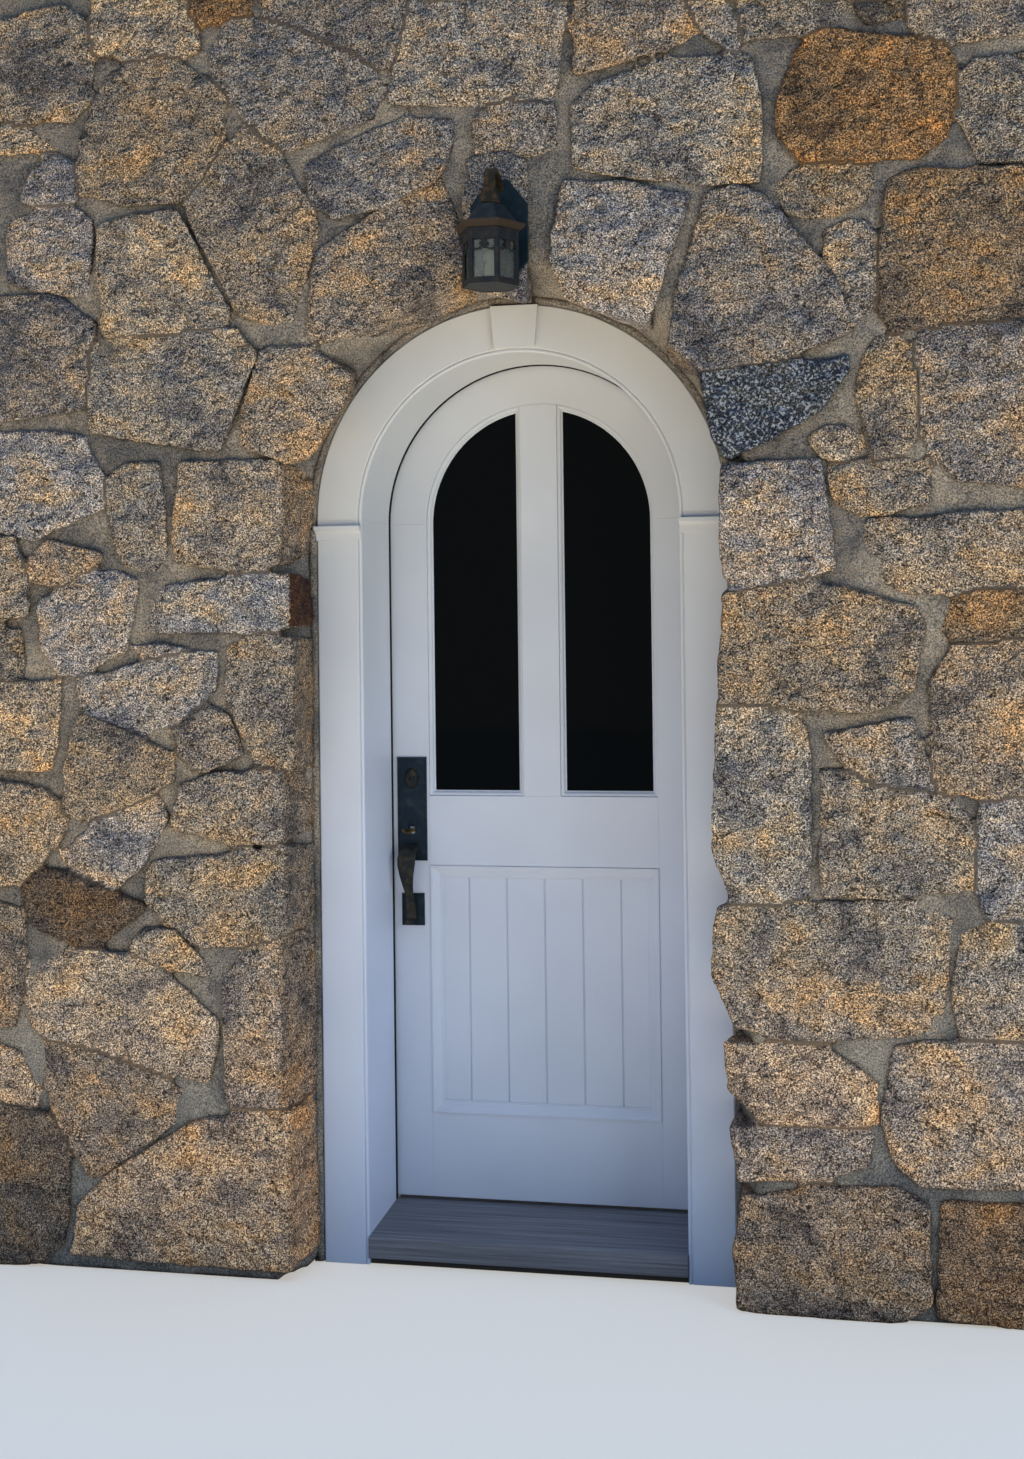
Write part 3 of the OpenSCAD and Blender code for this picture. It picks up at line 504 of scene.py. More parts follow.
def cutStone(stone, faceY, depth, revealY, rng):
    # a block at the stone's box, cut down to its outline with the bisect tool
    xs, zs = zip(*stone["outline"])
    wide, high = max(xs) - min(xs), max(zs) - min(zs)
    spare = hammerCuts["revealSpare" if revealY else "spare"]
    middle = Vector(((max(xs) + min(xs)) / 2, faceY + depth / 2, (max(zs) + min(zs)) / 2))
    size = (wide + 2 * spare, depth, high + 2 * spare)
    bpy.ops.mesh.primitive_cube_add(size=1, location=middle, scale=size)
    cutSides(stone, faceY, revealY, rng)
    knockCorners(stone, middle, faceY, rng)
    splitFacets(stone, middle, min(wide, high), faceY, rng)


def hexToLinear(text):
    # sRGB hex to the linear values that the shaders use
    channels = [int(text[i:i + 2], 16) / 255 for i in (0, 2, 4)]
    return [c / 12.92 if c <= 0.04045 else ((c + 0.055) / 1.055) ** 2.4 for c in channels] + [1.0]


def layStones(name, stones, voxel, seed, faceY=wallFaceY, revealY=None, turnZ=0.0, layFlat=False):
    # all the stones of one stretch of wall, as one mesh of separate closed stones
    rng = random.Random(seed)
    depth = revealY - faceY + stoneWork["pastCasing"] if revealY else stoneWork["faceDepth"]
    bpy.ops.object.select_all(action="DESELECT")
    bpy.ops.object.add(type="MESH", location=(0, 0, 0))
    piece = bpy.context.active_object
    piece.name = name
    bpy.ops.object.mode_set(mode="EDIT")
    for stone in stones:
        shade, warmth = rng.uniform(*stoneWork["shades"]), rng.uniform(*stoneWork["warmths"])
        red, green, blue, _ = hexToLinear(rockTones[stone["rock"]])
        stone["tone"] = [red * shade * warmth, green * shade, blue * shade / warmth, 1.0]
        stone["shift"] = rng.uniform(*stoneWork["patternShifts"])
        frontY = faceY + stoneWork["setBack"] + rng.uniform(0, stoneWork["uneven"])
        cutStone(stone, frontY, depth, revealY, rng)
        bpy.ops.mesh.select_all(action="SELECT")
        bpy.ops.mesh.hide(unselected=False)
    bpy.ops.mesh.reveal(select=False)
    bpy.ops.object.mode_set(mode="OBJECT")
    finishWith(piece, "BEVEL", width=stoneWork["edgeRound"], segments=2, limit_method="ANGLE",
               angle_limit=math.radians(stoneWork["edgeAngle"]))
    finishWith(piece, "REMESH", mode="VOXEL", voxel_size=voxel, use_smooth_shade=True)
    for kind in ("lump", "chip"):
        texture = lumps(name + kind, stoneWork[kind + "Size"])
        finishWith(piece, "DISPLACE", texture=texture, texture_coords="GLOBAL",
                   strength=stoneWork[kind + "Height"], mid_level=stoneWork["midLevel"])
    if not revealY:
        trimOff(piece, (0, faceY + stoneWork["keptDepth"], 0), (0, 1, 0))
    if not layFlat:
        trimOff(piece, (0, 0, stoneWork["footZ"]), (0, 0, -1))
    markStones(piece, stones)
    piece.rotation_euler = (math.radians(-90) if layFlat else 0, 0, turnZ)
    activate(piece)
    bpy.ops.object.transform_apply(location=True, rotation=True, scale=True)
    return piece


def markStones(piece, stones):
    # each point takes the tone and the pattern shift of the stone whose outline is nearest
    points = np.empty(len(piece.data.vertices) * 3)
    piece.data.vertices.foreach_get("co", points)
    points = points.reshape(-1, 3)
    depths, points = points[:, 1], points[:, [0, 2]]
    normals = np.empty(len(points) * 3)
    piece.data.vertex_normals.foreach_get("vector", normals)
    # a point in the reveal lies behind the face and looks across the opening
    sideways = normals.reshape(-1, 3)[:, 0] * -np.sign(points[:, 0])
    inReveal = (sideways > 0.5) & (depths > wallFaceY + 2 * stoneWork["setBack"])
    nearest = np.full(len(points), 1e9)
    tones = np.zeros((len(points), 4))
    shifts = np.zeros(len(points))
    for stone in stones:
        corners = np.array(stone["outline"])
        along = np.roll(corners, -1, axis=0) - corners
        outward = np.stack([along[:, 1], -along[:, 0]], 1)
        outward /= np.linalg.norm(outward, axis=1)[:, None] + 1e-9
        gap = np.max(points @ outward.T - np.sum(corners * outward, 1), axis=1)
        closer = gap < nearest
        nearest[closer] = gap[closer]
        tones[closer] = stone["tone"]
        shifts[closer] = stone["shift"]
        if atOpening(stone):
            # painted shade on the sides that lie in the reveal
            tones[closer & inReveal] = np.array(stone["tone"]) * paintedRevealShade
        if stone["name"] in returnTones:
            tones[closer & inReveal] = hexToLinear(returnTones[stone["name"]])
    tone = piece.data.color_attributes.new("rockTone", "FLOAT_COLOR", "POINT")
    tone.data.foreach_set("color", tones.ravel())
    shift = piece.data.attributes.new("rockShift", "FLOAT", "POINT")
    shift.data.foreach_set("value", shifts)


def stretchOf(stone):
    # the stretch of wall that the middle of a stone lies in
    xs, zs = zip(*stone["outline"])
    x, z = sum(xs) / len(xs), sum(zs) / len(zs)
    if z > crownZ:
        return "wall_above"
    return ("wall_head_" if z > springZ else "wall_") + ("left" if x < 0 else "right")


def heldBack(stone):
    # the same stone for the inner side, moved off the opening's line so that the door can swing past it
    room = stoneWork["swingRoom"]
    outline = []
    for x, z in stone["outline"]:
        short = room - openingGap(x, z)
        if short > 0:
            away = -towardOpening(x, z)
            x, z = x + away.x * short, z + away.z * short
        outline.append((x, z))
    return {**stone, "outline": convexOutline(outline), "clearance": room / 2}


def layFace(name, stones, voxel, seed, revealY, turnZ=0.0):
    # the stones that turn into the opening are deep, the others are slabs
    parts = []
    for turnsIn, reveal in ((True, revealY), (False, None)):
        some = [s for s in stones if atOpening(s) == turnsIn]
        if some:
            parts.append(layStones(name, some, voxel, seed + turnsIn, revealY=reveal, turnZ=turnZ))
    return parts


# Each stretch of wall, with its twin seen from behind and the cut ends that it has, -1 for the left one
stretches = {
    "wall_left": ("wall_right", [-1]),
    "wall_right": ("wall_left", [1]),
    "wall_head_left": ("wall_head_right", [-1]),
    "wall_head_right": ("wall_head_left", [1]),
    "wall_above": ("wall_above", [-1, 1]),
}


def buildStretch(stretch, stones, rng):
    twin, ends = stretches[stretch]
    plain = stoneWork["plainVoxel"]
    own = [s for s in stones if stretchOf(s) == stretch]
    parts = layFace(stretch + "Face", own, stoneWork["faceVoxel"], len(own), casingFaceY)
    # the back is the front of the twin, turned about
    own = [s for s in map(heldBack, stones) if stretchOf(s) == twin]
    casingY = -innerCasingY - stoneWork["casingGap"]
    seed = courses["backSeed"] + len(own)
    parts += layFace(stretch + "Back", own, plain, seed, casingY, turnZ=math.pi)
    low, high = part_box(stretch)
    inner = stoneWork["keptDepth"] + courses["cornerGap"]
    foot, top = max(low.z, stoneWork["lowestDrawn"]), min(high.z, wallTopZ - courses["cutHalfJoint"])
    for end in ends:
        column = cutFaceStones(rng, wallFaceY + inner, wallBackY - inner, foot, top)
        seed, turn = courses["endSeed"] + end, end * math.pi / 2
        parts.append(layStones(stretch + "End", column, plain, seed, faceY=wallLeftX, turnZ=turn))
    if stretch == "wall_above":
        margin = courses["cappingMargin"]
        capping = cutFaceStones(rng, wallFaceY + inner, wallBackY - inner, low.x + margin, high.x - margin)
        for stone in capping:
            stone["outline"] = convexOutline([(z, x) for x, z in stone["outline"]])
        seed = courses["cappingSeed"]
        parts.append(layStones(stretch + "Top", capping, plain, seed, faceY=-wallTopZ, layFlat=True))
    return parts


def buildStoneWork():
    rng = random.Random(courses["seed"])
    stones = drawnStones() + topCourseStones(rng)
    walls = []
    for stretch in stretches:
        piece = joinPieces(buildStretch(stretch, stones, rng), "stones_" + stretch)
        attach(piece, "root")
        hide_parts(stretch)
        print("stones:", stretch, sum(len(p.vertices) - 2 for p in piece.data.polygons), "triangles")
        walls.append(piece)
    return walls


stoneWalls = buildStoneWork()


# Mortar between and behind the stones

mortarWork = {
    "recess": 0.026,  # behind the stones' faces
    "openHalf": 0.4945,  # just clear of the frame's back
    "flare": 1.13,  # the opening widens by this much at the wall's face
    "cutterSpare": 0.02,
    "cutterBelow": 0.2,
    "topSpare": 0.002,
    "voxel": 0.017,
    "waveSize": 0.11,
    "waveHeight": 0.010,
}


def archedCutter(half, flare, frontY, loopY, backY):
    # a tall round-headed block, widened in front of the casing
    deep, midY, below = backY - frontY, (frontY + backY) / 2, mortarWork["cutterBelow"]
    bpy.ops.object.select_all(action="DESELECT")
    bpy.ops.mesh.primitive_cylinder_add(vertices=96, radius=half, depth=deep, location=(0, midY, springZ),
                                        rotation=(math.radians(90), 0, 0))
    head = bpy.context.active_object
    bpy.ops.mesh.primitive_cube_add(size=1, location=(0, midY, (springZ - below) / 2),
                                    scale=(2 * half, deep, springZ + below))
    legs = bpy.context.active_object
    for part in (head, legs):
        activate(part)
        bpy.ops.object.transform_apply(location=True, rotation=True, scale=True)
        bpy.ops.object.mode_set(mode="EDIT")
        for planeY in (loopY, -loopY):
            bpy.ops.mesh.select_all(action="SELECT")
            bpy.ops.mesh.bisect(plane_co=(0, planeY, 0), plane_no=(0, 1, 0))
        bpy.ops.mesh.select_all(action="DESELECT")
        bpy.ops.object.mode_set(mode="OBJECT")
        for vertex in part.data.vertices:
            vertex.select = abs(vertex.co.y) > abs(frontY) - 0.001
        bpy.ops.object.mode_set(mode="EDIT")
        widen = (flare, 1, flare if part is head else 1)
        bpy.ops.transform.resize(value=widen, center_override=(0, 0, springZ))
        bpy.ops.object.mode_set(mode="OBJECT")
    return [head, legs]


def buildMortar():
    recess, spare = mortarWork["recess"], mortarWork["cutterSpare"]
    wide, deep = wallRightX - wallLeftX - 2 * recess, wallBackY - wallFaceY - 2 * recess
    high = wallTopZ - recess + mortarWork["topSpare"]
    bpy.ops.object.select_all(action="DESELECT")
    bpy.ops.mesh.primitive_cube_add(size=1, location=(0, 0, high / 2), scale=(wide, deep, high))
    core = bpy.context.active_object
    core.name = "mortarCore"
    cutters = archedCutter(mortarWork["openHalf"], mortarWork["flare"], wallFaceY - spare, casingFaceY,
                           wallBackY + spare)
    for cutter in cutters:
        finishWith(core, "BOOLEAN", operation="DIFFERENCE", object=cutter, solver="EXACT")
    for cutter in cutters:
        bpy.data.objects.remove(cutter)
    activate(core)
    bpy.ops.object.transform_apply(location=True, rotation=True, scale=True)
    finishWith(core, "REMESH", mode="VOXEL", voxel_size=mortarWork["voxel"], use_smooth_shade=True)
    finishWith(core, "DISPLACE", texture=lumps("mortarWaves", mortarWork["waveSize"]),
               texture_coords="GLOBAL", strength=mortarWork["waveHeight"], mid_level=0.5)
    trimOff(core, (0, 0, stoneWork["footZ"]), (0, 0, -1))
    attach(core, "root")
    print("mortar:", sum(len(p.vertices) - 2 for p in core.data.polygons), "triangles")
    return core


mortarCore = buildMortar()

pointingWork = {
    "off": 0.0005,  # clear of the casing
    "lap": 0.008,  # onto the masonry
    "proud": 0.004,  # in front of the casing's face
    "depth": 0.018,  # behind it
    "footZ": 0.002,
    "legSteps": 24,
    "archSteps": 48,
    "waveSize": 0.03,
    "waveHeight": 0.006,
}


def buildPointing():
    # the bead of mortar that closes the gap round the casing's outer edge
    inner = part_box("casing_right")[1].x + pointingWork["off"]
    outer = mortarWork["openHalf"] + pointingWork["lap"]
    frontY, backY = casingFaceY - pointingWork["proud"], casingFaceY + pointingWork["depth"]
    legSteps, archSteps, footZ = pointingWork["legSteps"], pointingWork["archSteps"], pointingWork["footZ"]
    rise = (springZ - footZ) / legSteps
    bpy.ops.object.select_all(action="DESELECT")
    bpy.ops.mesh.primitive_plane_add(size=1, location=((inner + outer) / 2, (frontY + backY) / 2, footZ))
    bead = bpy.context.active_object
    bead.name = "casingPointing"
    bead.scale = (outer - inner, backY - frontY, 1)
    bpy.ops.object.transform_apply(location=True, rotation=True, scale=True)
    bpy.ops.object.mode_set(mode="EDIT")
    for _ in range(legSteps):
        bpy.ops.mesh.extrude_region_move(TRANSFORM_OT_translate={"value": (0, 0, rise)})
    for _ in range(archSteps):
        bpy.ops.mesh.extrude_region()
        bpy.ops.transform.rotate(value=math.pi / archSteps, orient_axis="Y", center_override=(0, 0, springZ))
    for _ in range(legSteps):
        bpy.ops.mesh.extrude_region_move(TRANSFORM_OT_translate={"value": (0, 0, -rise)})
    bpy.ops.mesh.select_all(action="SELECT")
    bpy.ops.mesh.normals_make_consistent(inside=False)
    bpy.ops.object.mode_set(mode="OBJECT")
    finishWith(bead, "SUBSURF", subdivision_type="SIMPLE", levels=1, render_levels=1)
    waves = lumps("beadWaves", pointingWork["waveSize"])
    finishWith(bead, "DISPLACE", texture=waves, texture_coords="GLOBAL", strength=pointingWork["waveHeight"],
               mid_level=0.55)
    bpy.ops.object.shade_smooth()
    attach(bead, "root")
    return bead


casingPointing = buildPointing()
print("casing pointed")


# Materials

multiply = {"data_type": "RGBA", "blend_type": "MULTIPLY"}
blend = {"data_type": "RGBA"}
smoothly = {"interpolation_type": "SMOOTHSTEP"}
addScaled = {"operation": "MULTIPLY_ADD"}


def addNode(tree, kind, settings=None, **sockets):
    # one node, its settings, and a value or a link for each named or numbered input; a node given as a
    # value stands for its first output
    node = tree.nodes.new("ShaderNode" + kind)
    for name, value in (settings or {}).items():
        setattr(node, name, value)
    for name, value in sockets.items():
        numbered = name.startswith("in") and name[2:].isdigit()
        socket = node.inputs[int(name[2:]) if numbered else name.replace("_", " ")]
        if isinstance(value, bpy.types.Node):
            value = value.outputs[0]
        if isinstance(value, bpy.types.NodeSocket):
            tree.links.new(value, socket)
        else:
            socket.default_value = value
    return node


def setRamp(node, first, last, *between):
    # the place and colour of a ramp's two ends and of what lies between them
    ends = node.color_ramp.elements
    ends[0].position, ends[0].color = first
    ends[1].position, ends[1].color = last
    for at, colour in between:
        ends.new(at).color = colour


def startMaterial(name):
    # an empty material, its node tree, and the coordinates that its patterns lie in
    material = bpy.data.materials.new(name)
    material.use_nodes = True
    tree = material.node_tree
    tree.nodes.clear()
    return material, tree, addNode(tree, "TexCoord").outputs["Object"]


def finishMaterial(tree, **sockets):
    shader = addNode(tree, "BsdfPrincipled", **sockets)
    addNode(tree, "OutputMaterial", Surface=shader)


def multiplied(tree, colour, *layers):
    for layer in layers:
        colour = addNode(tree, "Mix", multiply, in0=1.0, in6=colour, in7=layer).outputs[2]
    return colour


# Each noise's name, metres across one patch, the coordinates it lies in, detail, roughness and distortion
rockNoises = [
    ("clouds", 0.14, "slant", 5.0, 0.62, 0.4),
    ("clefts", 0.12, "slant", 4.0, 0.6, 0.0),
    ("blotches", 0.03, "slant", 4.0, 0.68, 0.0),
    ("pits", 0.010, "place", 2.0, 0.6, 0.0),
    ("feldspar", 0.006, "place", 2.0, 0.6, 0.0),
    ("grain", 0.0031, "place", 1.0, 0.6, 0.0),  # coarser than the rock's 2 mm so that it shows
]

rockRelief = [("clefts", 1.0, 0.030), ("blotches", 1.0, 0.012), ("grain", 0.7, 0.003)]  # strength, metres

rockTints = {
    # painted light: how much paler and warmer the lowest courses are painted
    "washed": (1.80, 1.45, 1.22, 1),
    "ledges": (0.40, 0.42, 0.48, 1),
    "feldspar": (0.36, 0.37, 0.40, 1),
    "clouds": [(0.36, (0.46, 0.50, 0.61, 1)), (0.66, (1.48, 1.20, 0.86, 1)), (0.44, (0.80, 0.84, 0.92, 1)),
               (0.50, (1.0, 1.0, 1.0, 1)), (0.57, (1.15, 1.06, 0.94, 1))],
    "grain": [(0.35, (0.10, 0.10, 0.13, 1)), (0.67, (2.9, 2.8, 2.66, 1)), (0.45, (0.66, 0.66, 0.68, 1)),
              (0.54, (1.18, 1.17, 1.14, 1))],
}


def splitFieldstone():
    # gneiss split by hand: fine black and white grain on warm tan, blue-grey and ochre clouds, black clefts
    material, tree, place = startMaterial("splitFieldstone")
    height = addNode(tree, "SeparateXYZ", Vector=place).outputs[2]
    tone = addNode(tree, "Attribute", {"attribute_name": "rockTone"}).outputs["Color"]
    shift = addNode(tree, "Attribute", {"attribute_name": "rockShift"}).outputs["Fac"]
    # every stone takes its pattern from another place, so that no band runs on from one to the next
    place = addNode(tree, "VectorMath", addScaled, in0=shift, in1=(0.13, 0.17, 0.11), in2=place)
    slant = addNode(tree, "Mapping", Vector=place, Rotation=(0.0, 0.5, 0.0), Scale=(1.0, 1.0, 1.35))
    noises = {}
    for name, wide, lies, detail, rough, warp in rockNoises:
        noises[name] = addNode(tree, "TexNoise", Vector=slant if lies == "slant" else place, Scale=1 / wide,
                               Detail=detail, Roughness=rough, Distortion=warp)
    # painted light: the lowest courses are painted paler and warmer than the rest, for the warm light that
    # falls on them
    low = addNode(tree, "MapRange", in0=height, in1=0.05, in2=0.80, in3=1.0, in4=0.0)
    washed = addNode(tree, "Mix", multiply, in0=low, in6=tone, in7=rockTints["washed"])
    clouds = addNode(tree, "ValToRGB", in0=noises["clouds"])
    setRamp(clouds, *rockTints["clouds"])
    speckle = addNode(tree, "ValToRGB", in0=noises["grain"])
    setRamp(speckle, *rockTints["grain"])
    blotches = addNode(tree, "MapRange", in0=noises["blotches"], in1=0.36, in2=0.64, in3=0.76, in4=1.22)
    pits = addNode(tree, "MapRange", in0=noises["pits"], in1=0.34, in2=0.40, in3=0.30, in4=1.0)
    body = multiplied(tree, washed.outputs[2], clouds, blotches, pits, speckle)
    # the one kind of rock that is bluer than it is red is full of white feldspar
    channels = addNode(tree, "SeparateColor", Color=tone)
    bluer = addNode(tree, "Math", {"operation": "SUBTRACT"}, in0=channels.outputs[2], in1=channels.outputs[0])
    slate = addNode(tree, "MapRange", in0=bluer, in1=0.0, in2=0.01, in3=0.0, in4=1.0)
    frost = addNode(tree, "MapRange", in0=noises["feldspar"], in1=0.52, in2=0.60, in3=0.0, in4=slate)
    frosted = addNode(tree, "Mix", blend, in0=frost, in6=body, in7=rockTints["feldspar"])
    # clefts run where a slow noise passes its middle value
    offMiddle = addNode(tree, "Math", {"operation": "SUBTRACT"}, in0=noises["clefts"], in1=0.5)
    away = addNode(tree, "Math", {"operation": "ABSOLUTE"}, in0=offMiddle)
    clefts = addNode(tree, "MapRange", smoothly, in0=away, in1=0.001, in2=0.009, in3=0.38, in4=1.0)
    # painted shade: the crevices are darkened by how shut in they are, where shadow falls; what looks up is
    # made darker and bluer
    crevice = addNode(tree, "AmbientOcclusion", {"samples": 5}, Distance=0.022)
    paintedCreviceShade = addNode(tree, "MapRange", in0=crevice.outputs["AO"], in1=0.25, in2=0.8, in3=0.22, in4=1.0)
    creviceShaded = multiplied(tree, frosted.outputs[2], clefts, paintedCreviceShade)
    facing = addNode(tree, "SeparateXYZ", Vector=addNode(tree, "NewGeometry").outputs["Normal"])
    ledges = addNode(tree, "MapRange", smoothly, in0=facing.outputs[2], in1=0.15, in2=0.7, in3=0.0, in4=0.8)
    paintedShadeAndDarkTops = addNode(tree, "Mix", multiply, in0=ledges, in6=creviceShaded, in7=rockTints["ledges"])
    # facets left by the hammer: the cells of a warped pattern, each tilted its own way
    warp = noises["clefts"].outputs[1]
    warped = addNode(tree, "VectorMath", addScaled, in0=warp, in1=(0.10, 0.10, 0.10), in2=slant)
    facets = addNode(tree, "TexVoronoi", Vector=warped, Scale=1 / 0.055)
    relief = addNode(tree, "Bump", {"invert": True}, in0=1.0, in1=0.018, Height=facets)
    for name, strength, depth in rockRelief:
        relief = addNode(tree, "Bump", in0=strength, in1=depth, Height=noises[name], Normal=relief)
    finishMaterial(tree, Base_Color=paintedShadeAndDarkTops.outputs[2], Roughness=0.88, Specular_IOR_Level=0.3, Normal=relief)
    return material


limeLook = {
    "deepHex": "645f5b",
    "paleHex": "9f9180",
    "patch": 0.16,  # metres across one patch of each pattern
    "trowel": 0.03,
    "sand": 0.0035,
    "crevices": 0.02,
}


def limeMortar():
    # sanded lime mortar, trowelled: dull olive-tan with sand grain, paler ridges, and painted shade along the
    # stones where the joints lie in shadow
    material, tree, place = startMaterial("trowelledLimeMortar")
    patches = addNode(tree, "TexNoise", Vector=place, Scale=1 / limeLook["patch"], Detail=4.0, Roughness=0.6)
    tones = addNode(tree, "ValToRGB", in0=patches)
    setRamp(tones, (0.35, hexToLinear(limeLook["deepHex"])), (0.65, hexToLinear(limeLook["paleHex"])))
    sand = addNode(tree, "TexNoise", Vector=place, Scale=1 / limeLook["sand"], Detail=2.0, Roughness=0.7)
    grit = addNode(tree, "MapRange", in0=sand, in1=0.36, in2=0.64, in3=0.38, in4=1.66)
    # painted shade: the joints are darkened by how shut in they are
    crevice = addNode(tree, "AmbientOcclusion", {"samples": 5}, Distance=limeLook["crevices"])
    paintedJointShade = addNode(tree, "MapRange", in0=crevice.outputs["AO"], in1=0.3, in2=0.85, in3=0.34, in4=1.0)
    trowel = addNode(tree, "TexNoise", Vector=place, Scale=1 / limeLook["trowel"], Detail=4.0, Roughness=0.6)
    relief = addNode(tree, "Bump", in0=1.0, in1=0.018, Height=trowel)
    fine = addNode(tree, "Bump", in0=0.5, in1=0.0025, Height=sand, Normal=relief)
    colour = multiplied(tree, tones, grit, paintedJointShade)
    finishMaterial(tree, Base_Color=colour, Roughness=0.92, Specular_IOR_Level=0.25, Normal=fine)
    return material


paintLook = {
    "fadeFrom": 0.6,  # metres up, where the painted bluer light of the foot begins to give way to the painted warmer light of the top
    "fadeTo": 2.0,
    "cloud": 0.3,
    "brushLong": 0.12,
    "brushWide": 0.003,
    "edgeRound": 0.0018,
}


def brushedPaint(name, warmLitTopHex, bluerShadedFootHex, across):
    # oil paint brushed on timber: satin, with fine brush drag along the grain; painted light: warmer toward
    # the top and bluer toward the foot, for how the light falls there
    material, tree, place = startMaterial(name)
    height = addNode(tree, "SeparateXYZ", Vector=place)
    fade = addNode(tree, "MapRange", smoothly, in0=height.outputs[2], in1=paintLook["fadeFrom"],
                   in2=paintLook["fadeTo"], in3=0.0, in4=1.0)
    foot, top = hexToLinear(bluerShadedFootHex), hexToLinear(warmLitTopHex)
    colour = addNode(tree, "Mix", blend, in0=fade, in6=foot, in7=top).outputs[2]
    cloud = addNode(tree, "TexNoise", Vector=place, Scale=1 / paintLook["cloud"], Detail=3.0)
    soil = addNode(tree, "MapRange", in0=cloud, in1=0.3, in2=0.7, in3=0.94, in4=1.04)
    soiled = multiplied(tree, colour, soil)
    along, thick = 1 / paintLook["brushLong"], 1 / paintLook["brushWide"]
    stretch = (along, thick, thick) if across else (thick, thick, along)
    drag = addNode(tree, "Mapping", Vector=place, Scale=stretch)
    streaks = addNode(tree, "TexNoise", Vector=drag, Scale=1.0, Detail=2.0)
    edges = addNode(tree, "Bevel", {"samples": 4}, Radius=paintLook["edgeRound"])
    relief = addNode(tree, "Bump", in0=0.12, in1=0.0008, Height=streaks, Normal=edges)
    gloss = addNode(tree, "MapRange", in0=streaks, in1=0.3, in2=0.7, in3=0.38, in4=0.5)
    finishMaterial(tree, Base_Color=soiled, Roughness=gloss, Normal=relief)
    return material


oakLook = {
    "deepHex": "4f4c50",
    "paleHex": "89878b",
    "grainLong": 0.35,
    "grainWide": 0.006,
    "edgeRound": 0.004,
}


def weatheredOak():
    # oiled hardwood left to the weather: grey-brown, open grain along the board
    material, tree, place = startMaterial("weatheredOakSill")
    thick = 1 / oakLook["grainWide"]
    along = addNode(tree, "Mapping", Vector=place, Scale=(1 / oakLook["grainLong"], thick, thick))
    grain = addNode(tree, "TexNoise", Vector=along, Scale=1.0, Detail=5.0, Roughness=0.65)
    tones = addNode(tree, "ValToRGB", in0=grain)
    setRamp(tones, (0.3, hexToLinear(oakLook["deepHex"])), (0.7, hexToLinear(oakLook["paleHex"])))
    edges = addNode(tree, "Bevel", {"samples": 4}, Radius=oakLook["edgeRound"])
    relief = addNode(tree, "Bump", in0=0.5, in1=0.002, Height=grain, Normal=edges)
    finishMaterial(tree, Base_Color=tones, Roughness=0.6, Normal=relief)
    return material


def darkGlass():
    # a sealed glass unit with nothing lit behind it: nearly black, mirror-smooth, very slightly wavy
    material, tree, place = startMaterial("sealedDarkGlass")
    waves = addNode(tree, "TexNoise", Vector=place, Scale=1 / 0.12, Detail=1.0)
    relief = addNode(tree, "Bump", in0=0.1, in1=0.002, Height=waves)
    finishMaterial(tree, Base_Color=hexToLinear("070a0c"), Roughness=0.04, Specular_IOR_Level=0.03,
                   Normal=relief)
    return material


bronzeLook = {"wear": 0.018, "edgeRound": 0.0012, "rubbedFade": 0.006, "rubbedHigh": 0.014}


def patinatedBronze(name, deepHex, wornHex, metal, rubbedHex=None, rubbedPiece=None):
    # cast bronze gone dark: blue-black patina with brown metal worn through on the high spots
    material, tree, place = startMaterial(name)
    wear = addNode(tree, "TexNoise", Vector=place, Scale=1 / bronzeLook["wear"], Detail=5.0, Roughness=0.65)
    tones = addNode(tree, "ValToRGB", in0=wear)
    setRamp(tones, (0.46, hexToLinear(deepHex)), (0.70, hexToLinear(wornHex)))
    edges = addNode(tree, "Bevel", {"samples": 4}, Radius=bronzeLook["edgeRound"])
    relief = addNode(tree, "Bump", in0=0.4, in1=0.001, Height=wear, Normal=edges)
    colour = tones
    if rubbedHex:
        # brown again along that piece's foot, where it has been touched
        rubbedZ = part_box(rubbedPiece)[0].z + bronzeLook["rubbedHigh"]
        height = addNode(tree, "SeparateXYZ", Vector=place)
        foot = addNode(tree, "MapRange", in0=height.outputs[2], in1=rubbedZ,
                       in2=rubbedZ + bronzeLook["rubbedFade"], in3=1.0, in4=0.0)
        rubbed = addNode(tree, "Mix", blend, in0=foot, in6=colour, in7=hexToLinear(rubbedHex))
        colour = rubbed.outputs[2]
    finishMaterial(tree, Base_Color=colour, Metallic=metal, Roughness=0.48, Specular_IOR_Level=0.15,
                   Normal=relief)
    return material


def plainFinish(name, hexColour, roughness, metal=0.0, clear=0.0, grit=0.004):
    # a plain moulded, drawn or sawn surface with a faint cloudiness
    material, tree, place = startMaterial(name)
    cloud = addNode(tree, "TexNoise", Vector=place, Scale=1 / grit, Detail=3.0)
    shade = addNode(tree, "MapRange", in0=cloud, in1=0.3, in2=0.7, in3=0.88, in4=1.1)
    tinted = multiplied(tree, hexToLinear(hexColour), shade)
    relief = addNode(tree, "Bump", in0=0.2, in1=0.001, Height=cloud)
    finishMaterial(tree, Base_Color=tinted, Metallic=metal, Roughness=roughness, Transmission_Weight=clear,
                   Normal=relief)
    return material


fieldstone = splitFieldstone()
mortar = limeMortar()
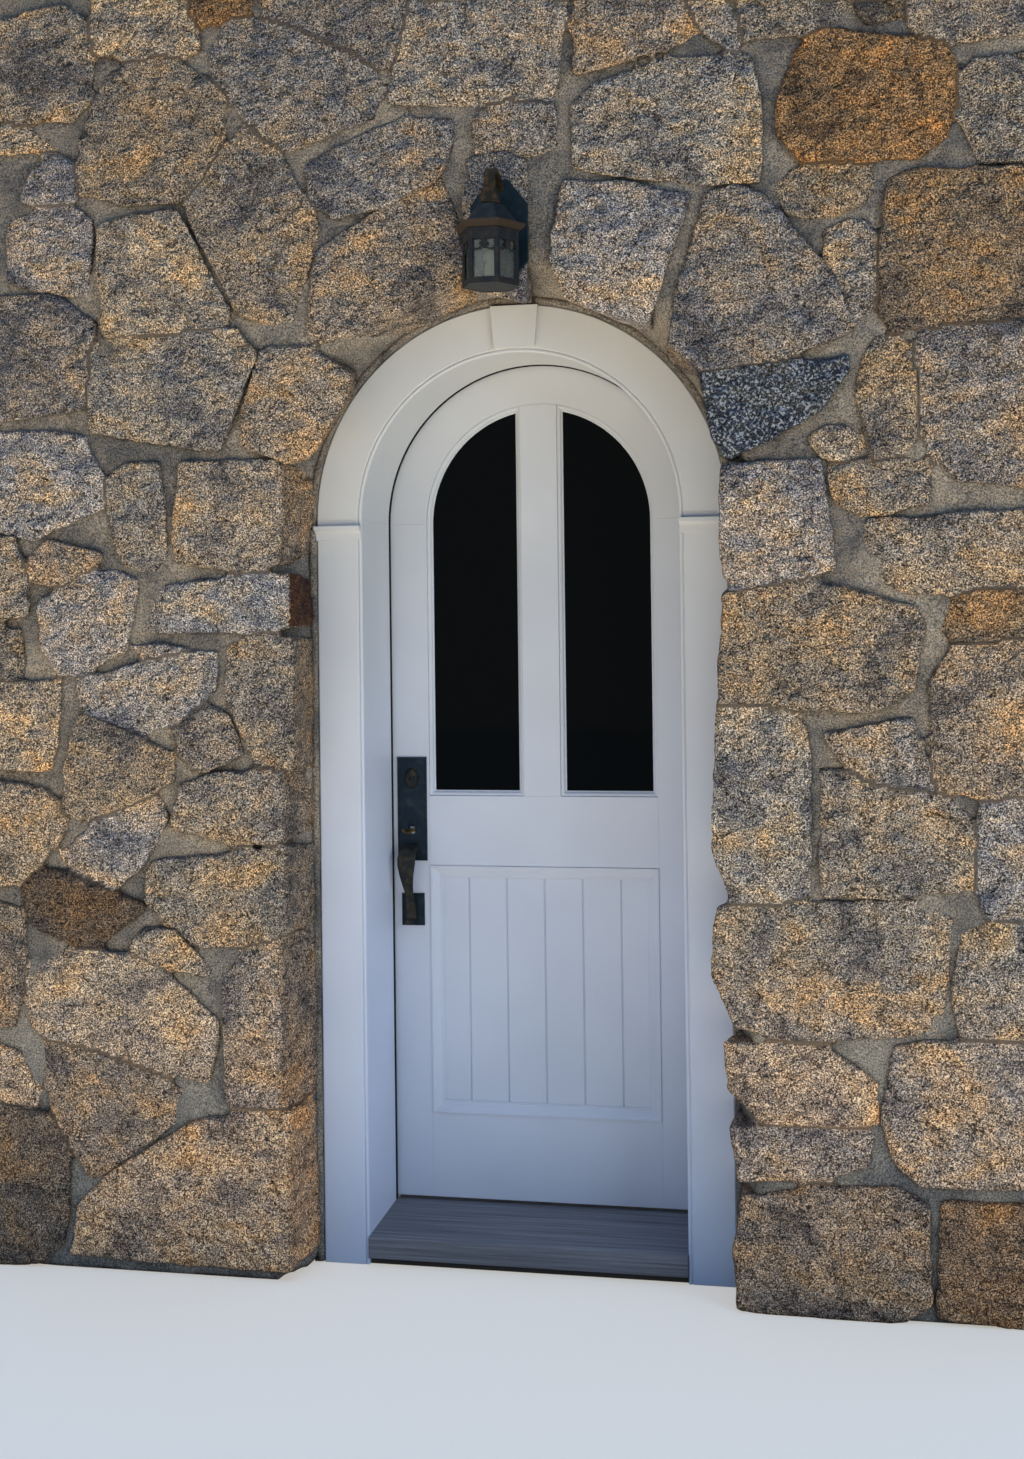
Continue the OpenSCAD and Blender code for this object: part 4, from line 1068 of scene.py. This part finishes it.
# painted light: each paint is given a warmer top and a bluer foot
framePaint = brushedPaint("brushedWhiteFramePaint", "d2d0cd", "d4d7e5", False)
doorPaint = brushedPaint("brushedWhiteDoorPaint", "cfcfd1", "cccfdb", False)
railPaint = brushedPaint("brushedWhiteRailPaint", "cfcfd1", "cccfdb", True)
oak = weatheredOak()
glass = darkGlass()
hardware = patinatedBronze("blueBlackBronze", "1f2a34", "2f3a41", 0.4)
gripBronze = patinatedBronze("oliveBrownBronze", "26282a", "45402f", 0.4)
wornBrass = patinatedBronze("wornBrassThumbPiece", "4b3f22", "c0a25a", 0.85)
lanternMetal = patinatedBronze("verdigrisBronze", "131f29", "2b3138", 0.3, "40352c", "lantern_roof")
plateMetal = patinatedBronze("verdigrisPlate", "14222b", "1f3038", 0.3)
cageBronze = patinatedBronze("cageBronze", "22262c", "3b352e", 0.35)
rubbedBronze = patinatedBronze("rubbedBrownBronze", "26231f", "55442f", 0.4)
hingeSteel = plainFinish("satinHingeSteel", "8f9092", 0.35, metal=1.0)
sawnStone = plainFinish("sawnThresholdStone", "8a8177", 0.85)
# painted shade: the bed under the sill is painted dark for the shadow it lies in
shadedBedStone = plainFinish("shadeDarkBedStone", "2f2c2a", 0.9)
rubber = plainFinish("blackSealRubber", "050506", 0.85)
candleSleeve = plainFinish("ivoryCandleSleeve", "d8cfb4", 0.5)
wavyPane = plainFinish("wavyLanternGlass", "c9d2cc", 0.08, clear=0.92, grit=0.03)

finishes = {
    sawnStone: ["inner_threshold"],
    shadedBedStone: ["sill_base"],
    framePaint: ["jamb_left", "jamb_right", "jamb_head", "casing_left", "casing_right", "casing_arch",
                 "keystone", "impost_left", "impost_right", "inner_casing"],
    doorPaint: ["lock_stile", "hinge_stile", "arch_rail", "mullion", "glazing_mould_left",
                "glazing_mould_right", "lower_panel", "panel_mould"],
    railPaint: ["lock_rail", "bottom_rail"],
    oak: ["sill"],
    glass: ["glass_left", "glass_right"],
    hardware: ["strike_plate", "handle_plates", "latch_faceplate"],
    gripBronze: ["handle_grip", "lock_cylinder", "inner_knob"],
    wornBrass: ["thumb_latch"],
    lanternMetal: ["lantern_roof"],
    plateMetal: ["lantern_backplate"],
    cageBronze: ["lantern_cage"],
    rubbedBronze: ["lantern_arm"],
    wavyPane: ["lantern_panes"],
    candleSleeve: ["lantern_lamp"],
    hingeSteel: ["hinge_frame_leaves", "hinge_pins", "hinge_door_leaves"],
    rubber: ["weather_seal", "door_sweep"],
}


def giveFinish(piece, material):
    piece.data.materials.clear()
    piece.data.materials.append(material)


for material, names in finishes.items():
    for name in names:
        giveFinish(nodes[name], material)
for piece in stoneWalls:
    giveFinish(piece, fieldstone)
giveFinish(mortarCore, mortar)
giveFinish(casingPointing, mortar)
print("finishes given")

# Studio: a pale floor, soft sky from above, a soft key from the right and a warm bounce off the floor

studio = {
    "floorWide": 40,
    "floorTone": "c9c6c0",
    "floorGlow": 0.42,  # added where the floor is seen, so that it stays pale
    "glowTone": (1.0, 0.93, 0.82, 1),
    "skyTone": (0.30, 0.62, 1.15, 1),
    "skyFrom": (0.30, 0.85),  # height of the sky where it begins and where it is full, as a sine
    "nearBounce": (0.25, 0.46, 0.68),  # off the shaded floor close to each face
    "farBounce": (2.47, 2.06, 1.32),  # off the sunlit floor beyond it
    "bounceFrom": (0.3, 1.0, 4.5),  # metres from the face to where each begins, and where the last ends
    "bounceWide": 12.0,
    "bounceZ": 0.004,
    "keyPower": 248.0,
    "keyTone": (0.61, 0.79, 1.0),
    "keyPlace": (7.2, -5.2, 3.1),
    "keySize": 4.0,
    "keyAim": (0, 0, 1.3),
}


def seenBackground(tree, *kinds):
    # 1 where a ray of one of these kinds sees the floor or the sky, 0 where they light something
    rays = addNode(tree, "LightPath")
    seen = rays.outputs[kinds[0]]
    for kind in kinds[1:]:
        seen = addNode(tree, "Math", {"operation": "MAXIMUM"}, in0=seen, in1=rays.outputs[kind])
    return seen


def makeFloor():
    bpy.ops.object.select_all(action="DESELECT")
    bpy.ops.mesh.primitive_plane_add(size=studio["floorWide"], location=(0, 0, -0.001))
    floor = bpy.context.active_object
    floor.name = "studioFloor"
    material, tree, _ = startMaterial("paleStudioFloor")
    seen = seenBackground(tree, "Is Camera Ray", "Is Glossy Ray")
    glow = addNode(tree, "Math", {"operation": "MULTIPLY"}, in0=seen, in1=studio["floorGlow"])
    finishMaterial(tree, Base_Color=hexToLinear(studio["floorTone"]), Roughness=0.9,
                   Emission_Color=studio["glowTone"], Emission_Strength=glow)
    giveFinish(floor, material)


def makeSky():
    world = bpy.data.worlds.new("softStudio")
    world.use_nodes = True
    bpy.context.scene.world = world
    tree = world.node_tree
    tree.nodes.clear()
    direction = addNode(tree, "SeparateXYZ", Vector=addNode(tree, "TexCoord").outputs["Generated"])
    start, full = studio["skyFrom"]
    height = addNode(tree, "MapRange", in0=direction.outputs[2], in1=start, in2=full, in3=0.0, in4=1.0)
    light = addNode(tree, "Background", Color=studio["skyTone"], Strength=height)
    pale = addNode(tree, "Background", Color=(1, 1, 1, 1), Strength=1.0)
    shown = seenBackground(tree, "Is Camera Ray", "Is Glossy Ray", "Is Transmission Ray")
    both = addNode(tree, "MixShader", in0=shown, in1=light, in2=pale)
    addNode(tree, "OutputWorld", Surface=both)


def addLamp(name, place, wide, deep, power, tone):
    lamp = bpy.data.lights.new(name, "AREA")
    lamp.shape = "RECTANGLE"
    lamp.size, lamp.size_y = wide, deep
    lamp.energy = power
    lamp.color = tone
    holder = bpy.data.objects.new(name, lamp)
    holder.location = place
    holder.visible_camera = holder.visible_glossy = holder.visible_transmission = False
    bpy.context.scene.collection.objects.link(holder)
    return holder


def makeLights():
    size = studio["keySize"]
    key = addLamp("softKey", studio["keyPlace"], size, size, studio["keyPower"], studio["keyTone"])
    key.rotation_euler = (Vector(studio["keyAim"]) - key.location).to_track_quat("-Z", "Y").to_euler()
    near, middle, far = studio["bounceFrom"]
    wide = studio["bounceWide"]
    strips = ((near, middle, studio["nearBounce"]), (middle, far, studio["farBounce"]))
    for side in (-1, 1):
        for start, end, radiance in strips:
            place = (0, side * (wallBackY + (start + end) / 2), studio["bounceZ"])
            power = max(radiance) * wide * (end - start) * math.pi
            tone = [channel / max(radiance) for channel in radiance]
            bounce = addLamp("floorBounce", place, wide, end - start, power, tone)
            bounce.rotation_euler = (math.pi, 0, 0)


makeFloor()
makeSky()
makeLights()
bpy.context.scene.view_settings.view_transform = "Standard"
print("studio lit")
